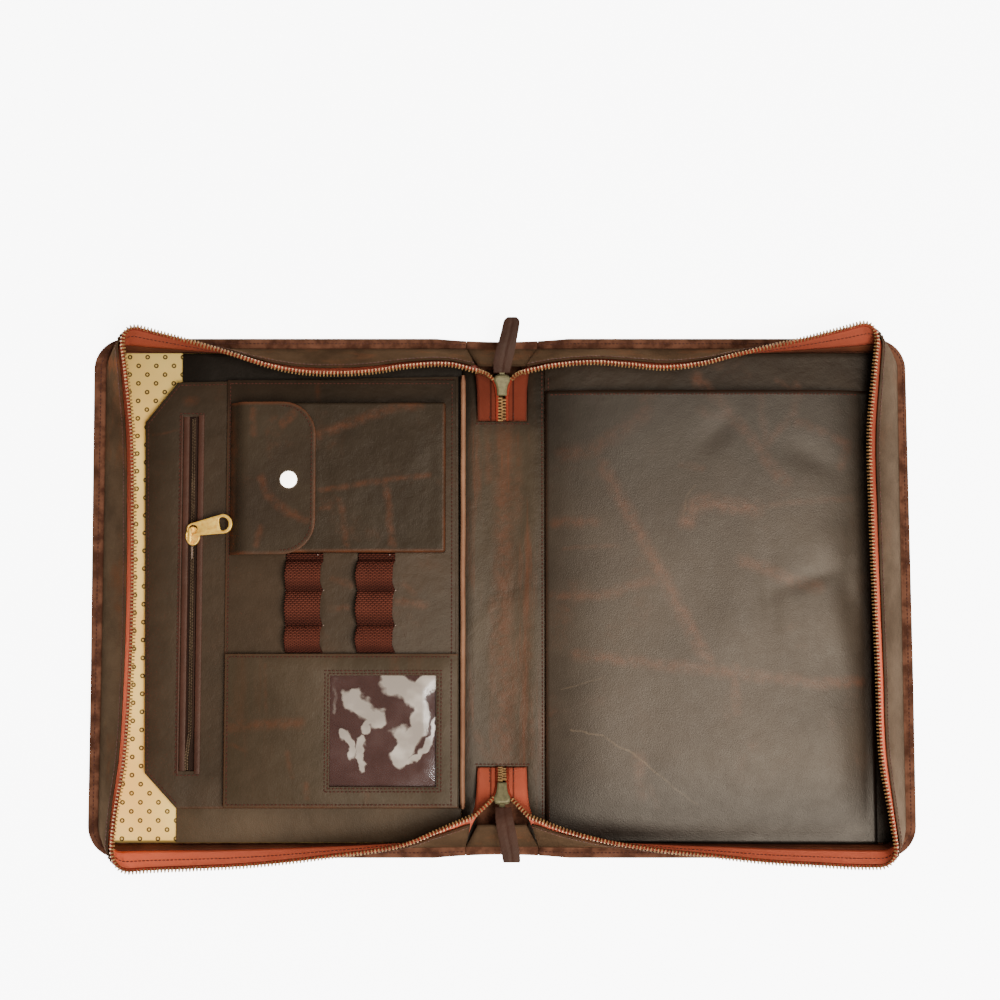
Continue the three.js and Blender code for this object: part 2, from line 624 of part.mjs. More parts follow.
const sliderGroup = new THREE.Group();
sliderGroup.position.set(SLOT_X + 1.8, SLIDER_Y, Z_PLATE);
root.add(sliderGroup);
add('pocket_slider', geometryOf(solid(slab(plate, 0, PLATE_T, 10)).add(solid(bridgeGeometry))), brass(0xb09a62),
  sliderGroup);

// Pull: flat brass tag whose near eye is threaded round the upper post of the bridge
const TAG_T = 1.2;
const TAG_L = 31.5;
const NEAR_R = 4.3;
const FAR_R = 6.45;
const EYE_SHIFT = 1.6;
const FAR_X = TAG_L - NEAR_R - FAR_R + EYE_SHIFT;
const tag = new THREE.Shape();
tag.absarc(EYE_SHIFT, 0, NEAR_R, Math.PI / 2 + 0.1, 1.5 * Math.PI - 0.1);
tag.absarc(FAR_X, 0, FAR_R, -Math.PI / 2 + 0.1, Math.PI / 2 - 0.1);
const nearEye = new THREE.Path();
nearEye.absellipse(EYE_SHIFT, 0, 3.2, 3.1, 0, 2 * Math.PI);
const farEye = new THREE.Path();
farEye.moveTo(FAR_X - 2, -4);
farEye.lineTo(FAR_X - 1, -4.4);
farEye.absarc(FAR_X - 0.4, 0, 4.5, -Math.PI / 2, Math.PI / 2);
farEye.lineTo(FAR_X - 2, 4);
tag.holes.push(nearEye, farEye);
const pullGroup = new THREE.Group();
pullGroup.position.set(BRIDGE_CX, 0.2 + EYE_POST_Y, PLATE_T + BRIDGE_GAP / 2);
pullGroup.rotation.z = 0.17;
const tagGeometry = slab(tag, -TAG_T / 2, TAG_T, 7);
sliderGroup.add(pullGroup);
add('zip_pull', tagGeometry, brass(0xc9a368), pullGroup).rotation.y = -0.17;

// Second panel with the flap pocket, pen loops and lower pocket
const secondShape = rectangle(SECOND_LEFT, PANEL_RIGHT - 1.2, PANEL_LOW + 1.2, PANEL_TOP - 2.6);
add('second_panel', slab(secondShape, Z_SECOND, PANEL_T), leather(0x54493a));

function block(x0, x1, y0, y1, z0, left, right, round) {
  const profile = outline([
    [x0, z0], [x1, z0], [x1, z0 + right - round], [x1 - 0.4 * round, z0 + right - 0.3 * round],
    [x1 - round, z0 + right], [x0, z0 + left],
  ]);
  const geometry = new THREE.ExtrudeGeometry(profile, { depth: y1 - y0, bevelEnabled: false });
  geometry.rotateX(Math.PI / 2);
  geometry.translate(0, y1, 0);
  return solid(geometry);
}
const pocketOut = block(POCKET_LEFT, POCKET_RIGHT, POCKET_LOW, POCKET_TOP, Z_TOP,
  POCKET_MOUTH_H, POCKET_H, POCKET_R);
const wall = PANEL_T + 0.1;
const pocketIn = block(POCKET_LEFT - 2, POCKET_RIGHT - wall, POCKET_LOW + wall, POCKET_TOP - wall, Z_TOP - 1,
  POCKET_MOUTH_H + 1 - wall, POCKET_H + 1 - wall, 0.8 * POCKET_R);
add('flap_pocket', geometryOf(pocketOut.subtract(pocketIn)), leather(0x4a3e30));

// Flap: hinged along the panel, over the mouth of the pocket and down its front
const FLAP_RISE = [
  { x: FLAP_LEFT, z: 0 },
  { x: FLAP_LEFT + 4, z: 0.45 },
  { x: POCKET_LEFT - 1.5, z: 1.01 },
  { x: POCKET_LEFT + 16, z: 1.05 },
  { x: FLAP_RIGHT, z: 1.15 },
];
function flapGeometry() {
  const rise = (x) => {
    const i = Math.max(FLAP_RISE.findIndex((r) => r.x >= x - 1e-6), 1);
    const a = FLAP_RISE[i - 1];
    const b = FLAP_RISE[i];
    const k = (x - a.x) / (b.x - a.x);
    return Z_TOP + (POCKET_MOUTH_H + GAP) * (a.z + (b.z - a.z) * k);
  };
  const xs = [...FLAP_RISE.slice(0, 4).map((r) => r.x)];
  for (let k = 0; k <= 6; k++) xs.push(FLAP_RIGHT - FLAP_R + FLAP_R * Math.sin((k * Math.PI) / 12));
  const rows = xs.map((x) => {
    const over = Math.max(x - (FLAP_RIGHT - FLAP_R), 0);
    const cut = FLAP_R - Math.sqrt(Math.max(FLAP_R ** 2 - over ** 2, 0.25));
    const ys = [FLAP_LOW + cut, FLAP_LOW + cut + (FLAP_TOP - FLAP_LOW - 2 * cut) / 2, FLAP_TOP - cut];
    return {
      outer: ys.map((y) => [x, y, rise(x) + PANEL_T]),
      inner: ys.map((y) => [x, y, rise(x)]),
    };
  });
  return sheet(rows);
}
add('flap', flapGeometry(), leather(0x4f4234));
const SNAP_Z = Z_TOP + (POCKET_MOUTH_H + GAP) * 1.13 + PANEL_T + GAP;
const cap = new THREE.LatheGeometry([[0, 0], [SNAP_D / 2, 0], [SNAP_D / 2, 0.5], [SNAP_D * 0.38, 1.4], [0, 1.8]]
  .map(([r, z]) => new THREE.Vector2(r, z)), 16);
cap.rotateX(Math.PI / 2);
cap.translate(SNAP_X, SNAP_Y, SNAP_Z);
add('snap_cap', cap, new THREE.MeshStandardMaterial({ color: 0xe8e6e0, roughness: 0.2, metalness: 1 }));

// Elastic pen loops: three arches in each column
const LOOP_STEPS = 8;
const LOOP_LEAN = 2;
const VALLEYS = [0, 0.324, 0.707, 1].map((share) => ({ y: LOOP_TOP - share * LOOP_RUN }));
function penLoops(x) {
  const line = [];
  VALLEYS.slice(1).forEach((v, i) => {
    const from = VALLEYS[i].y;
    for (let k = i === 0 ? 0 : 1; k <= LOOP_STEPS; k++) {
      const s = k / LOOP_STEPS;
      const h = Math.sin(Math.PI * s) ** 0.75;
      line.push({ y: from + (v.y - from) * s, z: Z_TOP + LOOP_H * h, shift: -LOOP_LEAN * h });
    }
  });
  const normal = (a, b) => new THREE.Vector2(b.z - a.z, a.y - b.y).normalize();
  return sheet(line.map((r, i) => {
    const n1 = normal(line[Math.max(i - 1, 0)], line[Math.max(i, 1)]);
    const n2 = normal(line[Math.min(i, line.length - 2)], line[Math.min(i + 1, line.length - 1)]);
    const n = n1.clone().add(n2).normalize();
    const d = LOOP_T / Math.max(n.dot(n1), 0.45);
    const x0 = x - LOOP_W / 2 + r.shift;
    const x1 = x + LOOP_W / 2 + r.shift;
    const top = [r.y + n.x * d, r.z + n.y * d];
    return { outer: [[x0, ...top], [x1, ...top]], inner: [[x0, r.y, r.z], [x1, r.y, r.z]] };
  }));
}
add('left_pen_loops', penLoops(LOOP_X_LEFT), cloth(0x6d3426));
add('right_pen_loops', penLoops(LOOP_X_RIGHT), cloth(0x6d3426));

// Lower pocket with a clear window
const Z_FILM = Z_TOP + CLOTH_T + GAP;
const FILM_T = 0.4;
const Z_LOWER = Z_FILM + FILM_T + GAP;
const lowerShape = rectangle(LOWER_LEFT, PANEL_RIGHT + 0.4, LOWER_LOW, LOWER_TOP);
lowerShape.holes.push(rectangle(WINDOW_L, WINDOW_R, WINDOW_LOW, WINDOW_TOP, undefined, THREE.Path));
add('lower_pocket', slab(lowerShape, Z_LOWER, PANEL_T), leather(0x54493a));
const backingShape = rectangle(LOWER_LEFT + 2, PANEL_RIGHT - 2, LOWER_LOW + 2, LOWER_TOP - 2);
add('window_backing', slab(backingShape, Z_TOP, CLOTH_T), cloth(0x5f413c));
const film = new THREE.MeshStandardMaterial({ color: 0xb0a090, roughness: 0.15, opacity: 0.35 });
film.transparent = true;
const filmShape = rectangle(WINDOW_L - FILM_EDGE, WINDOW_R + FILM_EDGE, WINDOW_LOW - FILM_EDGE,
  WINDOW_TOP + FILM_EDGE);
add('window_film', slab(filmShape, Z_FILM, FILM_T), film);

// Rolled binding down the right edge of the left side
const ROLL = [[0.781, 0], [1, 0.258], [0.969, 0.742], [0.688, 0.952], [0.25, 1], [0, 0.839], [0, 0]];
const rollShape = outline(ROLL.map(([x, z]) => [PANEL_RIGHT + 1.6 + x * ROLL_W, Z_PANEL + z * ROLL_H]));
const roll = new THREE.ExtrudeGeometry(rollShape, { depth: PANEL_TOP - PANEL_LOW, bevelEnabled: false });
roll.rotateX(Math.PI / 2);
roll.translate(0, PANEL_TOP, 0);
add('edge_roll', roll, leather(0x80482c));

// Large pocket on the right: fixed along three sides, open at the top
const RP_NX = 12;
const RP_NY = 12;
function rightPocket() {
  const rows = [];
  for (let j = 0; j <= RP_NY; j++) {
    const v = j / RP_NY;
    const y = RIGHT_LOW + (RIGHT_TOP - RIGHT_LOW) * v;
    const outer = [];
    const inner = [];
    for (let i = 0; i <= RP_NX; i++) {
      const u = i / RP_NX;
      const x = RIGHT_L + (RIGHT_R - RIGHT_L) * u;
      const lift = Math.min(1, 4.2 * Math.min(u, 1 - u)) ** 0.8 * Math.min(1, 5 * v) ** 0.8;
      const z = Z_FOOT + PANEL_T + GAP + BULGE * lift;
      outer.push([x, y, z + PANEL_T]);
      inner.push([x, y, z]);
    }
    rows.push({ outer, inner });
  }
  return sheet(rows);
}
add('right_pocket_panel', rightPocket(), leather(0x6b604f));

export default root;
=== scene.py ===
"""Leather document case lying open on a pale floor. Sizes are in millimetres until a mesh is finished."""

import math

import bmesh
import bpy
from mathutils import Matrix, Vector, noise


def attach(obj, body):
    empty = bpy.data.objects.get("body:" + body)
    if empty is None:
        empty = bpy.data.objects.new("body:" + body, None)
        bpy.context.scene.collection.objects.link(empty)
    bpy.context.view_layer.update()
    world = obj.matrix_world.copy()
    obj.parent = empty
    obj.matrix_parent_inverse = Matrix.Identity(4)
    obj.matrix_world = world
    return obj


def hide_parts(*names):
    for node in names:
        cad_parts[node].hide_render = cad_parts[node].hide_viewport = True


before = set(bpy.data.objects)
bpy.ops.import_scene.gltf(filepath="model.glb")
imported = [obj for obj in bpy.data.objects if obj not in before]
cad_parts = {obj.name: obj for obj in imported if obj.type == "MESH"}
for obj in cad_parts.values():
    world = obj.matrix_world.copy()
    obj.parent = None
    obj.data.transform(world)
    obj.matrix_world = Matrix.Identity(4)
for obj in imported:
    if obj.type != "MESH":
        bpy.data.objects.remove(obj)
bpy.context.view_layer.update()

MM = 0.001

# Overall size of the case, as in the CAD model
HALF_W, HALF_H = 271.0, 171.4
COVER_R, COVER_T = 20.0, 2.0
PANEL_T, TAPE_T, GAP = 1.4, 0.8, 0.3
SPINE_HALF, SPINE_DIP = 48.0, 1.6
FLANGE, WALL_T, WALL_H, ZIP_H = 6.2, 1.5, 24.5, 30.0
TAPE_LOW = 8.0
BASE_HX, BASE_HY, BASE_R = HALF_W - FLANGE - GAP, HALF_H - FLANGE - GAP, 14.0
WALL_START, EDGE_CLEAR = 24.0, 3.0
Z_FOOT, Z_BASE, Z_ZIP, Z_PANEL, Z_SECOND, Z_TOP = 2.3, 3.6, 5.3, 6.4, 8.1, 9.8
Z_FILM, Z_LOWER = 11.1, 11.8

# Left side
CLOTH_EDGE = -213.3
PANEL_LEFT, PANEL_RIGHT, PANEL_TOP, PANEL_LOW = -237.0, -29.2, 145.6, -139.4
SLOT_X, SLOT_W, SLOT_TOP, SLOT_LOW, SLIDER_Y = -206.2, 11.2, 118.6, -115.1, 39.0
SECOND_LEFT = -182.5
POCKET_LEFT, POCKET_RIGHT, POCKET_TOP, POCKET_LOW = -170.0, -37.2, 126.6, 27.6
POCKET_H, MOUTH_H = 11.5, 8.6
FLAP_LEFT, FLAP_RIGHT, FLAP_TOP, FLAP_LOW, FLAP_R = -179.6, -122.4, 127.0, 26.2, 22.0
SNAP = (-140.0, 75.3)
LOOP_W, LOOP_RUN, LOOP_H = 24.2, 90.5, 9.5
LOOP_X = (-130.0, -82.6)
VALLEYS = (22.5, 3.0, -20.0, -37.6)
LOWER_LEFT, LOWER_TOP, LOWER_LOW = -181.6, -38.6, -138.6
WINDOW = (-112.6, -43.1, -125.0, -52.8)

# Spine and right side
SPINE_L, SPINE_R, NOTCH_TOP, NOTCH_LOW, NOTCH_W = -26.2, 28.2, 115.7, -112.3, 16.9
RIGHT_L, RIGHT_R, RIGHT_TOP, RIGHT_LOW, BULGE = 28.9, 240.0, 136.0, -158.0, 5.6
# Ends of the spine: sign of y, then how far out the slider and the foot of the notch lie
ENDS = {"top": (1, 138.4, NOTCH_TOP), "bottom": (-1, 129.0, -NOTCH_LOW)}
SLIDER_Z = 17.0
PULL_W, PULL_T = 10.8, 2.4
TOOTH_PITCH = 2.3
STITCH, STITCH_PITCH = (2.1, 0.95, 0.7), 2.6
UP = Vector((0, 0, 1))


def rgb(r, g, b):
    """Screen colour of 0 to 255 as the linear colour that Blender uses."""
    line = [c / 255 for c in (r, g, b)]
    return (*[c / 12.92 if c < 0.04045 else ((c + 0.055) / 1.055) ** 2.4 for c in line], 1.0)


# Shader maths

def maths(operation):
    return lambda value, *others: value.finish.math(operation, value, *others)


class Value:
    """A node's output; arithmetic on it adds Math nodes."""

    __add__, __sub__, __mul__, __truediv__ = map(maths, ("ADD", "SUBTRACT", "MULTIPLY", "DIVIDE"))
    least, most = map(maths, ("MINIMUM", "MAXIMUM"))
    size, sine, fraction = map(maths, ("ABSOLUTE", "SINE", "FRACT"))

    def __init__(self, finish, socket):
        self.finish, self.socket = finish, socket

    def __rsub__(self, other):
        return self.finish.math("SUBTRACT", other, self)

    def fade(self, start, end):
        """0 before start, 1 after end, smooth between them."""
        inputs = {"Value": self, "From Min": start, "From Max": end}
        return self.finish.node("ShaderNodeMapRange", {"interpolation_type": "SMOOTHSTEP"}, inputs)


class Finish:
    """One material: its Principled shader and the nodes that feed it."""

    def __init__(self, name, **constants):
        self.material = bpy.data.materials.new(name)
        self.material.use_nodes = True
        self.tree = self.material.node_tree
        self.shader = self.tree.nodes["Principled BSDF"]
        for key, value in constants.items():
            self.shader.inputs[key.replace("_", " ")].default_value = value
        place = self.node("ShaderNodeTexCoord", out="Object")
        self.mm = self.vector("SCALE", place, {"Scale": 1 / MM})
        self.x, self.y, self.z = self.split(self.mm)

    def node(self, kind, settings=None, inputs=None, out=0):
        node = self.tree.nodes.new(kind)
        for key, value in (settings or {}).items():
            setattr(node, key, value)
        for key, value in (inputs or {}).items():
            if isinstance(value, Value):
                self.tree.links.new(value.socket, node.inputs[key])
            else:
                node.inputs[key].default_value = value
        return Value(self, node.outputs[out])

    def math(self, operation, *values):
        return self.node("ShaderNodeMath", {"operation": operation}, dict(enumerate(values)))

    def vector(self, operation, first, inputs=None, out=0):
        return self.node("ShaderNodeVectorMath", {"operation": operation}, {0: first, **(inputs or {})}, out)

    def split(self, vector):
        node = self.tree.nodes.new("ShaderNodeSeparateXYZ")
        self.tree.links.new(vector.socket, node.inputs[0])
        return [Value(self, node.outputs[i]) for i in range(3)]

    def noise(self, scale, detail=3.0, vector=None, rough=0.5, out=0):
        inputs = {"Vector": vector or self.mm, "Scale": scale, "Detail": detail, "Roughness": rough}
        return self.node("ShaderNodeTexNoise", None, inputs, out)

    def mix(self, factor, low, high):
        return self.node("ShaderNodeMix", {"data_type": "RGBA"}, {0: factor, 6: low, 7: high}, out=2)

    def dim(self, colour, factor):
        return self.vector("SCALE", colour, {"Scale": factor})

    def stretched(self, x, y, z=1.0):
        """Object place in mm, drawn out along the axes with the smaller numbers."""
        return self.vector("MULTIPLY", self.mm, {1: (x, y, z)})

    def wobbled(self, scale, detail, far):
        """Flat place in mm, moved about by noise so that drawn lines waver."""
        shift = self.vector("SUBTRACT", self.noise(scale, detail, out=1), {1: (0.5, 0.5, 0.5)})
        moved = self.vector("MULTIPLY_ADD", shift, {1: (far, far, 0.0), 2: self.mm})
        return self.vector("MULTIPLY", moved, {1: (1.0, 1.0, 0.0)})

    def pores(self):
        return self.node("ShaderNodeTexVoronoi", {"feature": "F1"}, {"Vector": self.mm, "Scale": 1.3})

    def feed(self, **links):
        for key, value in links.items():
            self.tree.links.new(value.socket, self.shader.inputs[key.replace("_", " ")])

    def bump(self, height, depth):
        """height of 0 to 1 stands for depth in mm."""
        inputs = {"Height": height, "Distance": depth * MM, "Strength": 1.0}
        self.feed(Normal=self.node("ShaderNodeBump", None, inputs))


# Pull-up marks, and the painted reflections on the window film: width in mm, strength, and the line that the mark
# follows

RIGHT_MARKS = [
    (4.2, 0.75, [(66.8, 85.9), (104.0, 15.7), (135.1, -44.0)]),
    (3.6, 0.7, [(49.8, -39.4), (87.2, -43.8), (115.4, -47.1), (152.7, -51.2), (209.5, -57.9), (235.7, -56.9)]),
    (3.6, 0.55, [(34.8, -1.2), (72.2, 1.0), (94.1, 8.7), (102.7, 11.1)]),
    (3.4, 0.6, [(35.0, 48.3), (61.4, 48.3)]),
    (1.6, 0.35, [(41.5, 30.9), (76.5, 32.9)]),
    (4, 0.8, [(130.4, 144.9), (145.8, 127.1), (165.5, 103.7), (176.3, 88.1), (187.1, 74.8)]),
    (3.6, 0.55, [(132.5, 121.5), (147.9, 119.2), (163.3, 108.1)]),
    (3, 0.5, [(171.3, 132.6), (174.2, 101.4)]),
    (3, 0.7, [(196.8, 139.3), (194.4, 121.5), (176.4, 101.4)]),
    (1.6, 0.5, [(183.4, 144.0), (196.6, 134.8)]),
    (3, 0.8, [(196.5, 114.8), (216.2, 105.9), (229.4, 100.4), (224.8, 85.9)]),
    (5, 0.9, [(121.9, 48.3), (125.3, 57.2), (136.3, 62.7), (145.1, 59.3), (167.1, 57.2)]),
    (2, 0.4, [(167.1, 58.2), (231.1, 64.8)]),
    (4, 0.6, [(157.9, 23.0), (175.4, 16.4), (192.9, 8.7), (208.2, 5.4)]),
    (5, 0.7, [(41.7, 92.6), (61.6, 97.0), (81.5, 110.4), (94.9, 121.5), (97.0, 139.3)]),
    (3, 0.6, [(152.8, -47.9), (153.6, -76.4)]),
    (4, 0.6, [(89.0, -106.6), (91.1, -130.4)]),
    (2, 0.5, [(97.1, -125.9), (101.6, -138.8)]),
    (2.4, 0.5, [(118.9, 85.9), (132.1, 83.7)]),
]
RIGHT_SCRATCHES = [
    (0.6, 0.8, [(45.6, -88.3), (65.2, -91.5), (89.0, -106.6), (112.8, -126.1), (127.9, -136.8)]),
    (0.5, 0.5, [(39.1, -62.3), (65.3, -54.6)]),
    (0.8, 0.5, [(120.2, 52.7), (121.6, 64.0), (127.6, 71.9)]),
]
FLAP_MARKS = [
    (3.2, 0.8, [(-179.8, 96.0), (-179.6, 30.0)]),
    (2.2, 0.6, [(-179.8, 126.0), (-179.6, 96.0)]),
    (3, 0.6, [(-180.2, 122.0), (-176.9, 92.9)]),
    (2, 0.5, [(-163.8, 122.0), (-163.6, 105.5)]),
    (2.4, 0.8, [(-137.5, 119.2), (-144.0, 111.8)]),
    (2.6, 0.6, [(-157.5, 76.5), (-153.7, 64.8), (-139.7, 53.1), (-128.0, 49.5)]),
    (2, 0.5, [(-158.6, 44.3), (-160.6, 32.7)]),
]
POCKET_MARKS = [
    (3, 0.6, [(-119.7, 105.1), (-92.0, 116.1), (-74.5, 122.0), (-54.0, 125.0)]),
    (1.8, 0.6, [(-119.4, 68.4), (-91.7, 72.8), (-74.2, 75.7), (-48.0, 78.7)]),
    (2.2, 0.45, [(-106.2, 61.8), (-101.6, 32.7)]),
    (2.2, 0.6, [(-76.4, 75.0), (-71.8, 32.7)]),
    (1.4, 0.5, [(-118.6, 55.9), (-113.4, 56.3)]),
]
SECOND_MARKS = [
    (2, 0.8, [(-122.5, 140.0), (-122.4, 126.5)]),
    (2, 0.6, [(-111.9, 10.6), (-99.5, 7.0)]),
    (2, 0.6, [(-112.5, -9.9), (-101.5, -7.7)]),
    (2, 0.6, [(-65.1, 7.7), (-57.7, 1.1)]),
    (2.6, 0.8, [(-68.6, -4.8), (-51.1, -6.2)]),
]
LEFT_MARKS = [
    (2.6, 0.9, [(-209.6, 128.7), (-204.3, 129.7)]),
    (0.8, 0.7, [(-231.9, 106.3), (-223.3, 108.0), (-214.0, 110.3)]),
]
LOWER_MARKS = [
    (3.4, 0.65, [(-178.3, -86.1), (-149.4, -84.6), (-131.9, -83.5)]),
    (1.6, 0.45, [(-176.8, -97.6), (-168.0, -101.8)]),
    (1.8, 0.45, [(-140.4, -103.3), (-136.7, -117.7)]),
    (1.8, 0.6, [(-127.2, -123.4), (-127.1, -132.0)]),
    (1.2, 0.3, [(-154.8, -45.3), (-154.4, -80.4)]),
    (2.5, 0.45, [(-70.8, -39.4), (-70.1, -50.5)]),
    (2, 0.4, [(-87.3, -130.2), (-87.2, -135.4)]),
]
# Painted reflections: pale patches on the window film where the lamps would show in it.
FILM_PAINTED_GLEAMS = [
    (7, 1.0, [(-98.6, -67.7), (-88.0, -77.2), (-80.1, -82.3)]),
    (3.4, 0.9, [(-85.2, -81.9), (-91.2, -88.5)]),
    (3.6, 0.9, [(-103.4, -88.8), (-99.3, -96.4), (-97.4, -103.2)]),
    (3.4, 0.9, [(-91.7, -94.4), (-92.7, -103.5), (-91.0, -112.8)]),
    (8.5, 1.0, [(-72.5, -55.8), (-66.3, -59.9), (-59.1, -64.3)]),
    (6, 1.0, [(-45.5, -53.6), (-51.3, -58.9), (-56.7, -65.7)]),
    (7, 1.0, [(-56.7, -64.3), (-53.0, -73.8), (-54.9, -87.3), (-60.3, -95.4), (-62.6, -101.1),
              (-66.4, -106.8)]),
    (7, 0.8, [(-66.5, -90.4), (-61.6, -96.1)]),
    (2.2, 0.8, [(-44.4, -81.9), (-47.1, -95.4), (-53.8, -106.8), (-62.7, -109.5)]),
    (4, 0.5, [(-110.4, -54.8), (-109.6, -76.5)]),
]
SPINE_MARKS = [
    (6, 0.75, [(2.0, 110.1), (1.3, 23.4), (1.2, -26.2), (2.0, -108.1)]),
    (3, 0.5, [(-6.3, -3.1), (-5.3, -68.9), (-4.6, -106.2)]),
    (3, 0.5, [(16.9, 3.5), (16.8, -46.0)]),
    (4, 0.55, [(8.6, -46.0), (6.9, -75.5)]),
    (2.5, 0.5, [(19.1, -83.3), (20.0, -106.2)]),
    (3, 0.5, [(-9.5, -106.2), (-16.9, -91.8)]),
    (2.5, 0.5, [(-9.3, 113.5), (-8.7, 76.6)]),
    (3, 0.4, [(10.0, 103.4), (10.6, 50.0)]),
]


def line_marks(finish, rows, place):
    """How strongly the lines show at each place, from 0 to 1."""
    total = None
    for width, strength, points in rows:
        for a, b in zip(points, points[1:]):
            run = Vector((b[0] - a[0], b[1] - a[1], 0))
            from_a = finish.vector("SUBTRACT", place, {1: (a[0], a[1], 0)})
            dot = finish.vector("DOT_PRODUCT", from_a, {1: tuple(run)}, out="Value")
            share = (dot / run.length_squared).most(0.0).least(1.0)
            step = finish.vector("SCALE", tuple(run), {"Scale": share})
            far = finish.vector("SUBTRACT", from_a, {1: step})
            distance = finish.vector("LENGTH", far, out="Value")
            mark = (1 - distance.fade(0.0, width * 1.8)) * strength
            total = mark if total is None else total.most(mark)
    return total


def box_edge(finish, x0, x1, y0, y1, r=0.0):
    """Distance in mm from the edge of a rectangle with corners of radius r, inside it."""
    if not r:
        return (finish.x - x0).least(x1 - finish.x).least((finish.y - y0).least(y1 - finish.y))
    out = [((axis - (a + b) / 2).size() - ((b - a) / 2 - r)).most(0.0) for axis, a, b in
           ((finish.x, x0, x1), (finish.y, y0, y1))]
    return r - finish.math("SQRT", out[0] * out[0] + out[1] * out[1])


def paint_shade(finish, colour, rows):
    """The colour, darker by a share of amount where an axis passes from start to end: painted shade."""
    for axis, start, end, amount in rows:
        share = (finish.x, finish.y)[axis].fade(min(start, end), max(start, end))
        if end < start:
            share = 1 - share
        colour = finish.dim(colour, 1 - share * amount)
    return colour


def leather(name, tone, deep, rust, marks=(), scratches=(), edge=None, rough=0.46, streaks=0.0, rust_edge=2.2,
            rim=0.45, wrinkle=0.35, painted_shades=(), shine=0.22):
    """Waxed leather that lightens and reddens where it is bent, rubbed or scratched; painted shade can be laid in
    bands along x or y.
    """
    f = Finish(name, IOR=1.45, Specular_IOR_Level=shine, Specular_Tint=(1.0, 0.86, 0.7, 1.0))
    mottle = f.noise(0.09, 4.0, rough=0.6)
    grain = f.noise(1.1, 3.0, rough=0.7)
    shade = (f.noise(0.016, 3.0) * 0.6 + mottle * 0.25 + grain * 0.15).fade(0.3, 0.7)
    place = f.wobbled(0.1, 3.0, 4.0)
    broken = f.noise(0.16, 5.0, rough=0.7).fade(0.3, 0.68)
    worn = f.noise(0.035, 4.0, rough=0.6).fade(0.56, 0.8) * 0.28 * broken
    if marks:
        worn = worn.most(line_marks(f, marks, place) * (broken * 0.75 + 0.1) * 0.72)
    if streaks:
        long_lines = f.noise(0.1, 5.0, f.stretched(1.0, 0.09), rough=0.7).fade(0.5, 0.78)
        worn = worn.most(long_lines * streaks)
    if edge:
        rub = f.noise(0.06, 4.0).fade(0.3, 0.65) * 0.6 + 0.4
        worn = worn.most((1 - box_edge(f, *edge).fade(0.1, rust_edge)) * rim * rub)
    colour = f.mix(worn, f.mix(shade, deep, tone), rust)
    if scratches:
        thin = line_marks(f, scratches, place) * (broken * 0.7 + 0.2)
        colour = f.mix(thin * 0.4, colour, rgb(120, 98, 74))
    # Painted shade: the colour is darkened in bands along x or y.
    f.feed(Base_Color=paint_shade(f, colour, painted_shades))
    f.feed(Roughness=(mottle - 0.5) * 0.16 + rough + (grain - 0.5) * 0.1 - worn * 0.05)
    creases = f.noise(0.05, 4.0, rough=0.55)
    f.bump(creases * wrinkle + mottle * (0.35 * wrinkle) + grain * 0.025 + f.pores() * 0.025, 2.4)
    return f.material


def shell_leather():
    """Leather of the covers and walls: redder on the sewn edge strip; painted light makes the right wall lighter
    and greyer, and the left wall somewhat lighter, with painted shade towards its top."""
    f = Finish("shell_leather", IOR=1.45, Specular_IOR_Level=0.0)
    rust = rgb(104, 58, 35)
    cloud = f.noise(0.02, 3.0)
    mottle = f.noise(0.1, 4.0, rough=0.6)
    grain = f.noise(1.1, 3.0, rough=0.7)
    shade = (cloud * 0.55 + mottle * 0.3 + grain * 0.15).fade(0.3, 0.7)
    rubbed = f.noise(0.03, 5.0, f.stretched(1.0, 1.0, 2.4), rough=0.7).fade(0.5, 0.74)
    corner = ((f.x.size() - 215.0).most(0.0) * (f.y.size() - 120.0).most(0.0)).fade(150.0, 1500.0)
    above_strip = f.z.fade(3.9, 5.5)
    # Painted light on the side walls: the right wall lighter and greyer, the left wall less so, with painted shade
    # towards its top.
    right = f.x.fade(236.0, 262.0) * above_strip
    left = (1 - f.x.fade(-262.0, -236.0)) * above_strip * (1 - f.y.fade(20.0, 150.0) * 0.7)
    strip_tone = f.mix(mottle.fade(0.35, 0.65), rgb(64, 38, 28), rgb(103, 66, 49))
    colour = f.mix(shade, rgb(43, 31, 21), rgb(64, 48, 34))
    for share, tone in (
        ((rubbed * (corner * 0.75 + 0.25)).least(1.0), rust),
        ((1 - f.z.fade(3.9, 4.6)) * 0.85, strip_tone),
        # Painted light: the right wall's lighter tone, then the left wall's, which fades out towards the top as
        # painted shade.
        (right * 0.8, f.mix(shade, rgb(74, 61, 49), rgb(96, 81, 67))),
        (left * (0.8 - rubbed * 0.5), f.mix(shade, rgb(55, 44, 33), rgb(77, 62, 47))),
        (f.z.fade(Z_FOOT + 16.0, Z_FOOT + 22.0) * 0.3 * rubbed, rust),
    ):
        colour = f.mix(share, colour, tone)
    f.feed(Base_Color=colour, Roughness=(mottle - 0.5) * 0.2 + 0.62)
    f.bump(cloud * 0.4 + mottle * 0.3 + grain * 0.04 + f.pores() * 0.04, 2.2)
    return f.material


def weave(first, second, pitch):
    """Threads of both directions, from -1 to 1."""
    return (first * (math.pi / pitch)).sine() * (second * (math.pi / pitch)).sine()


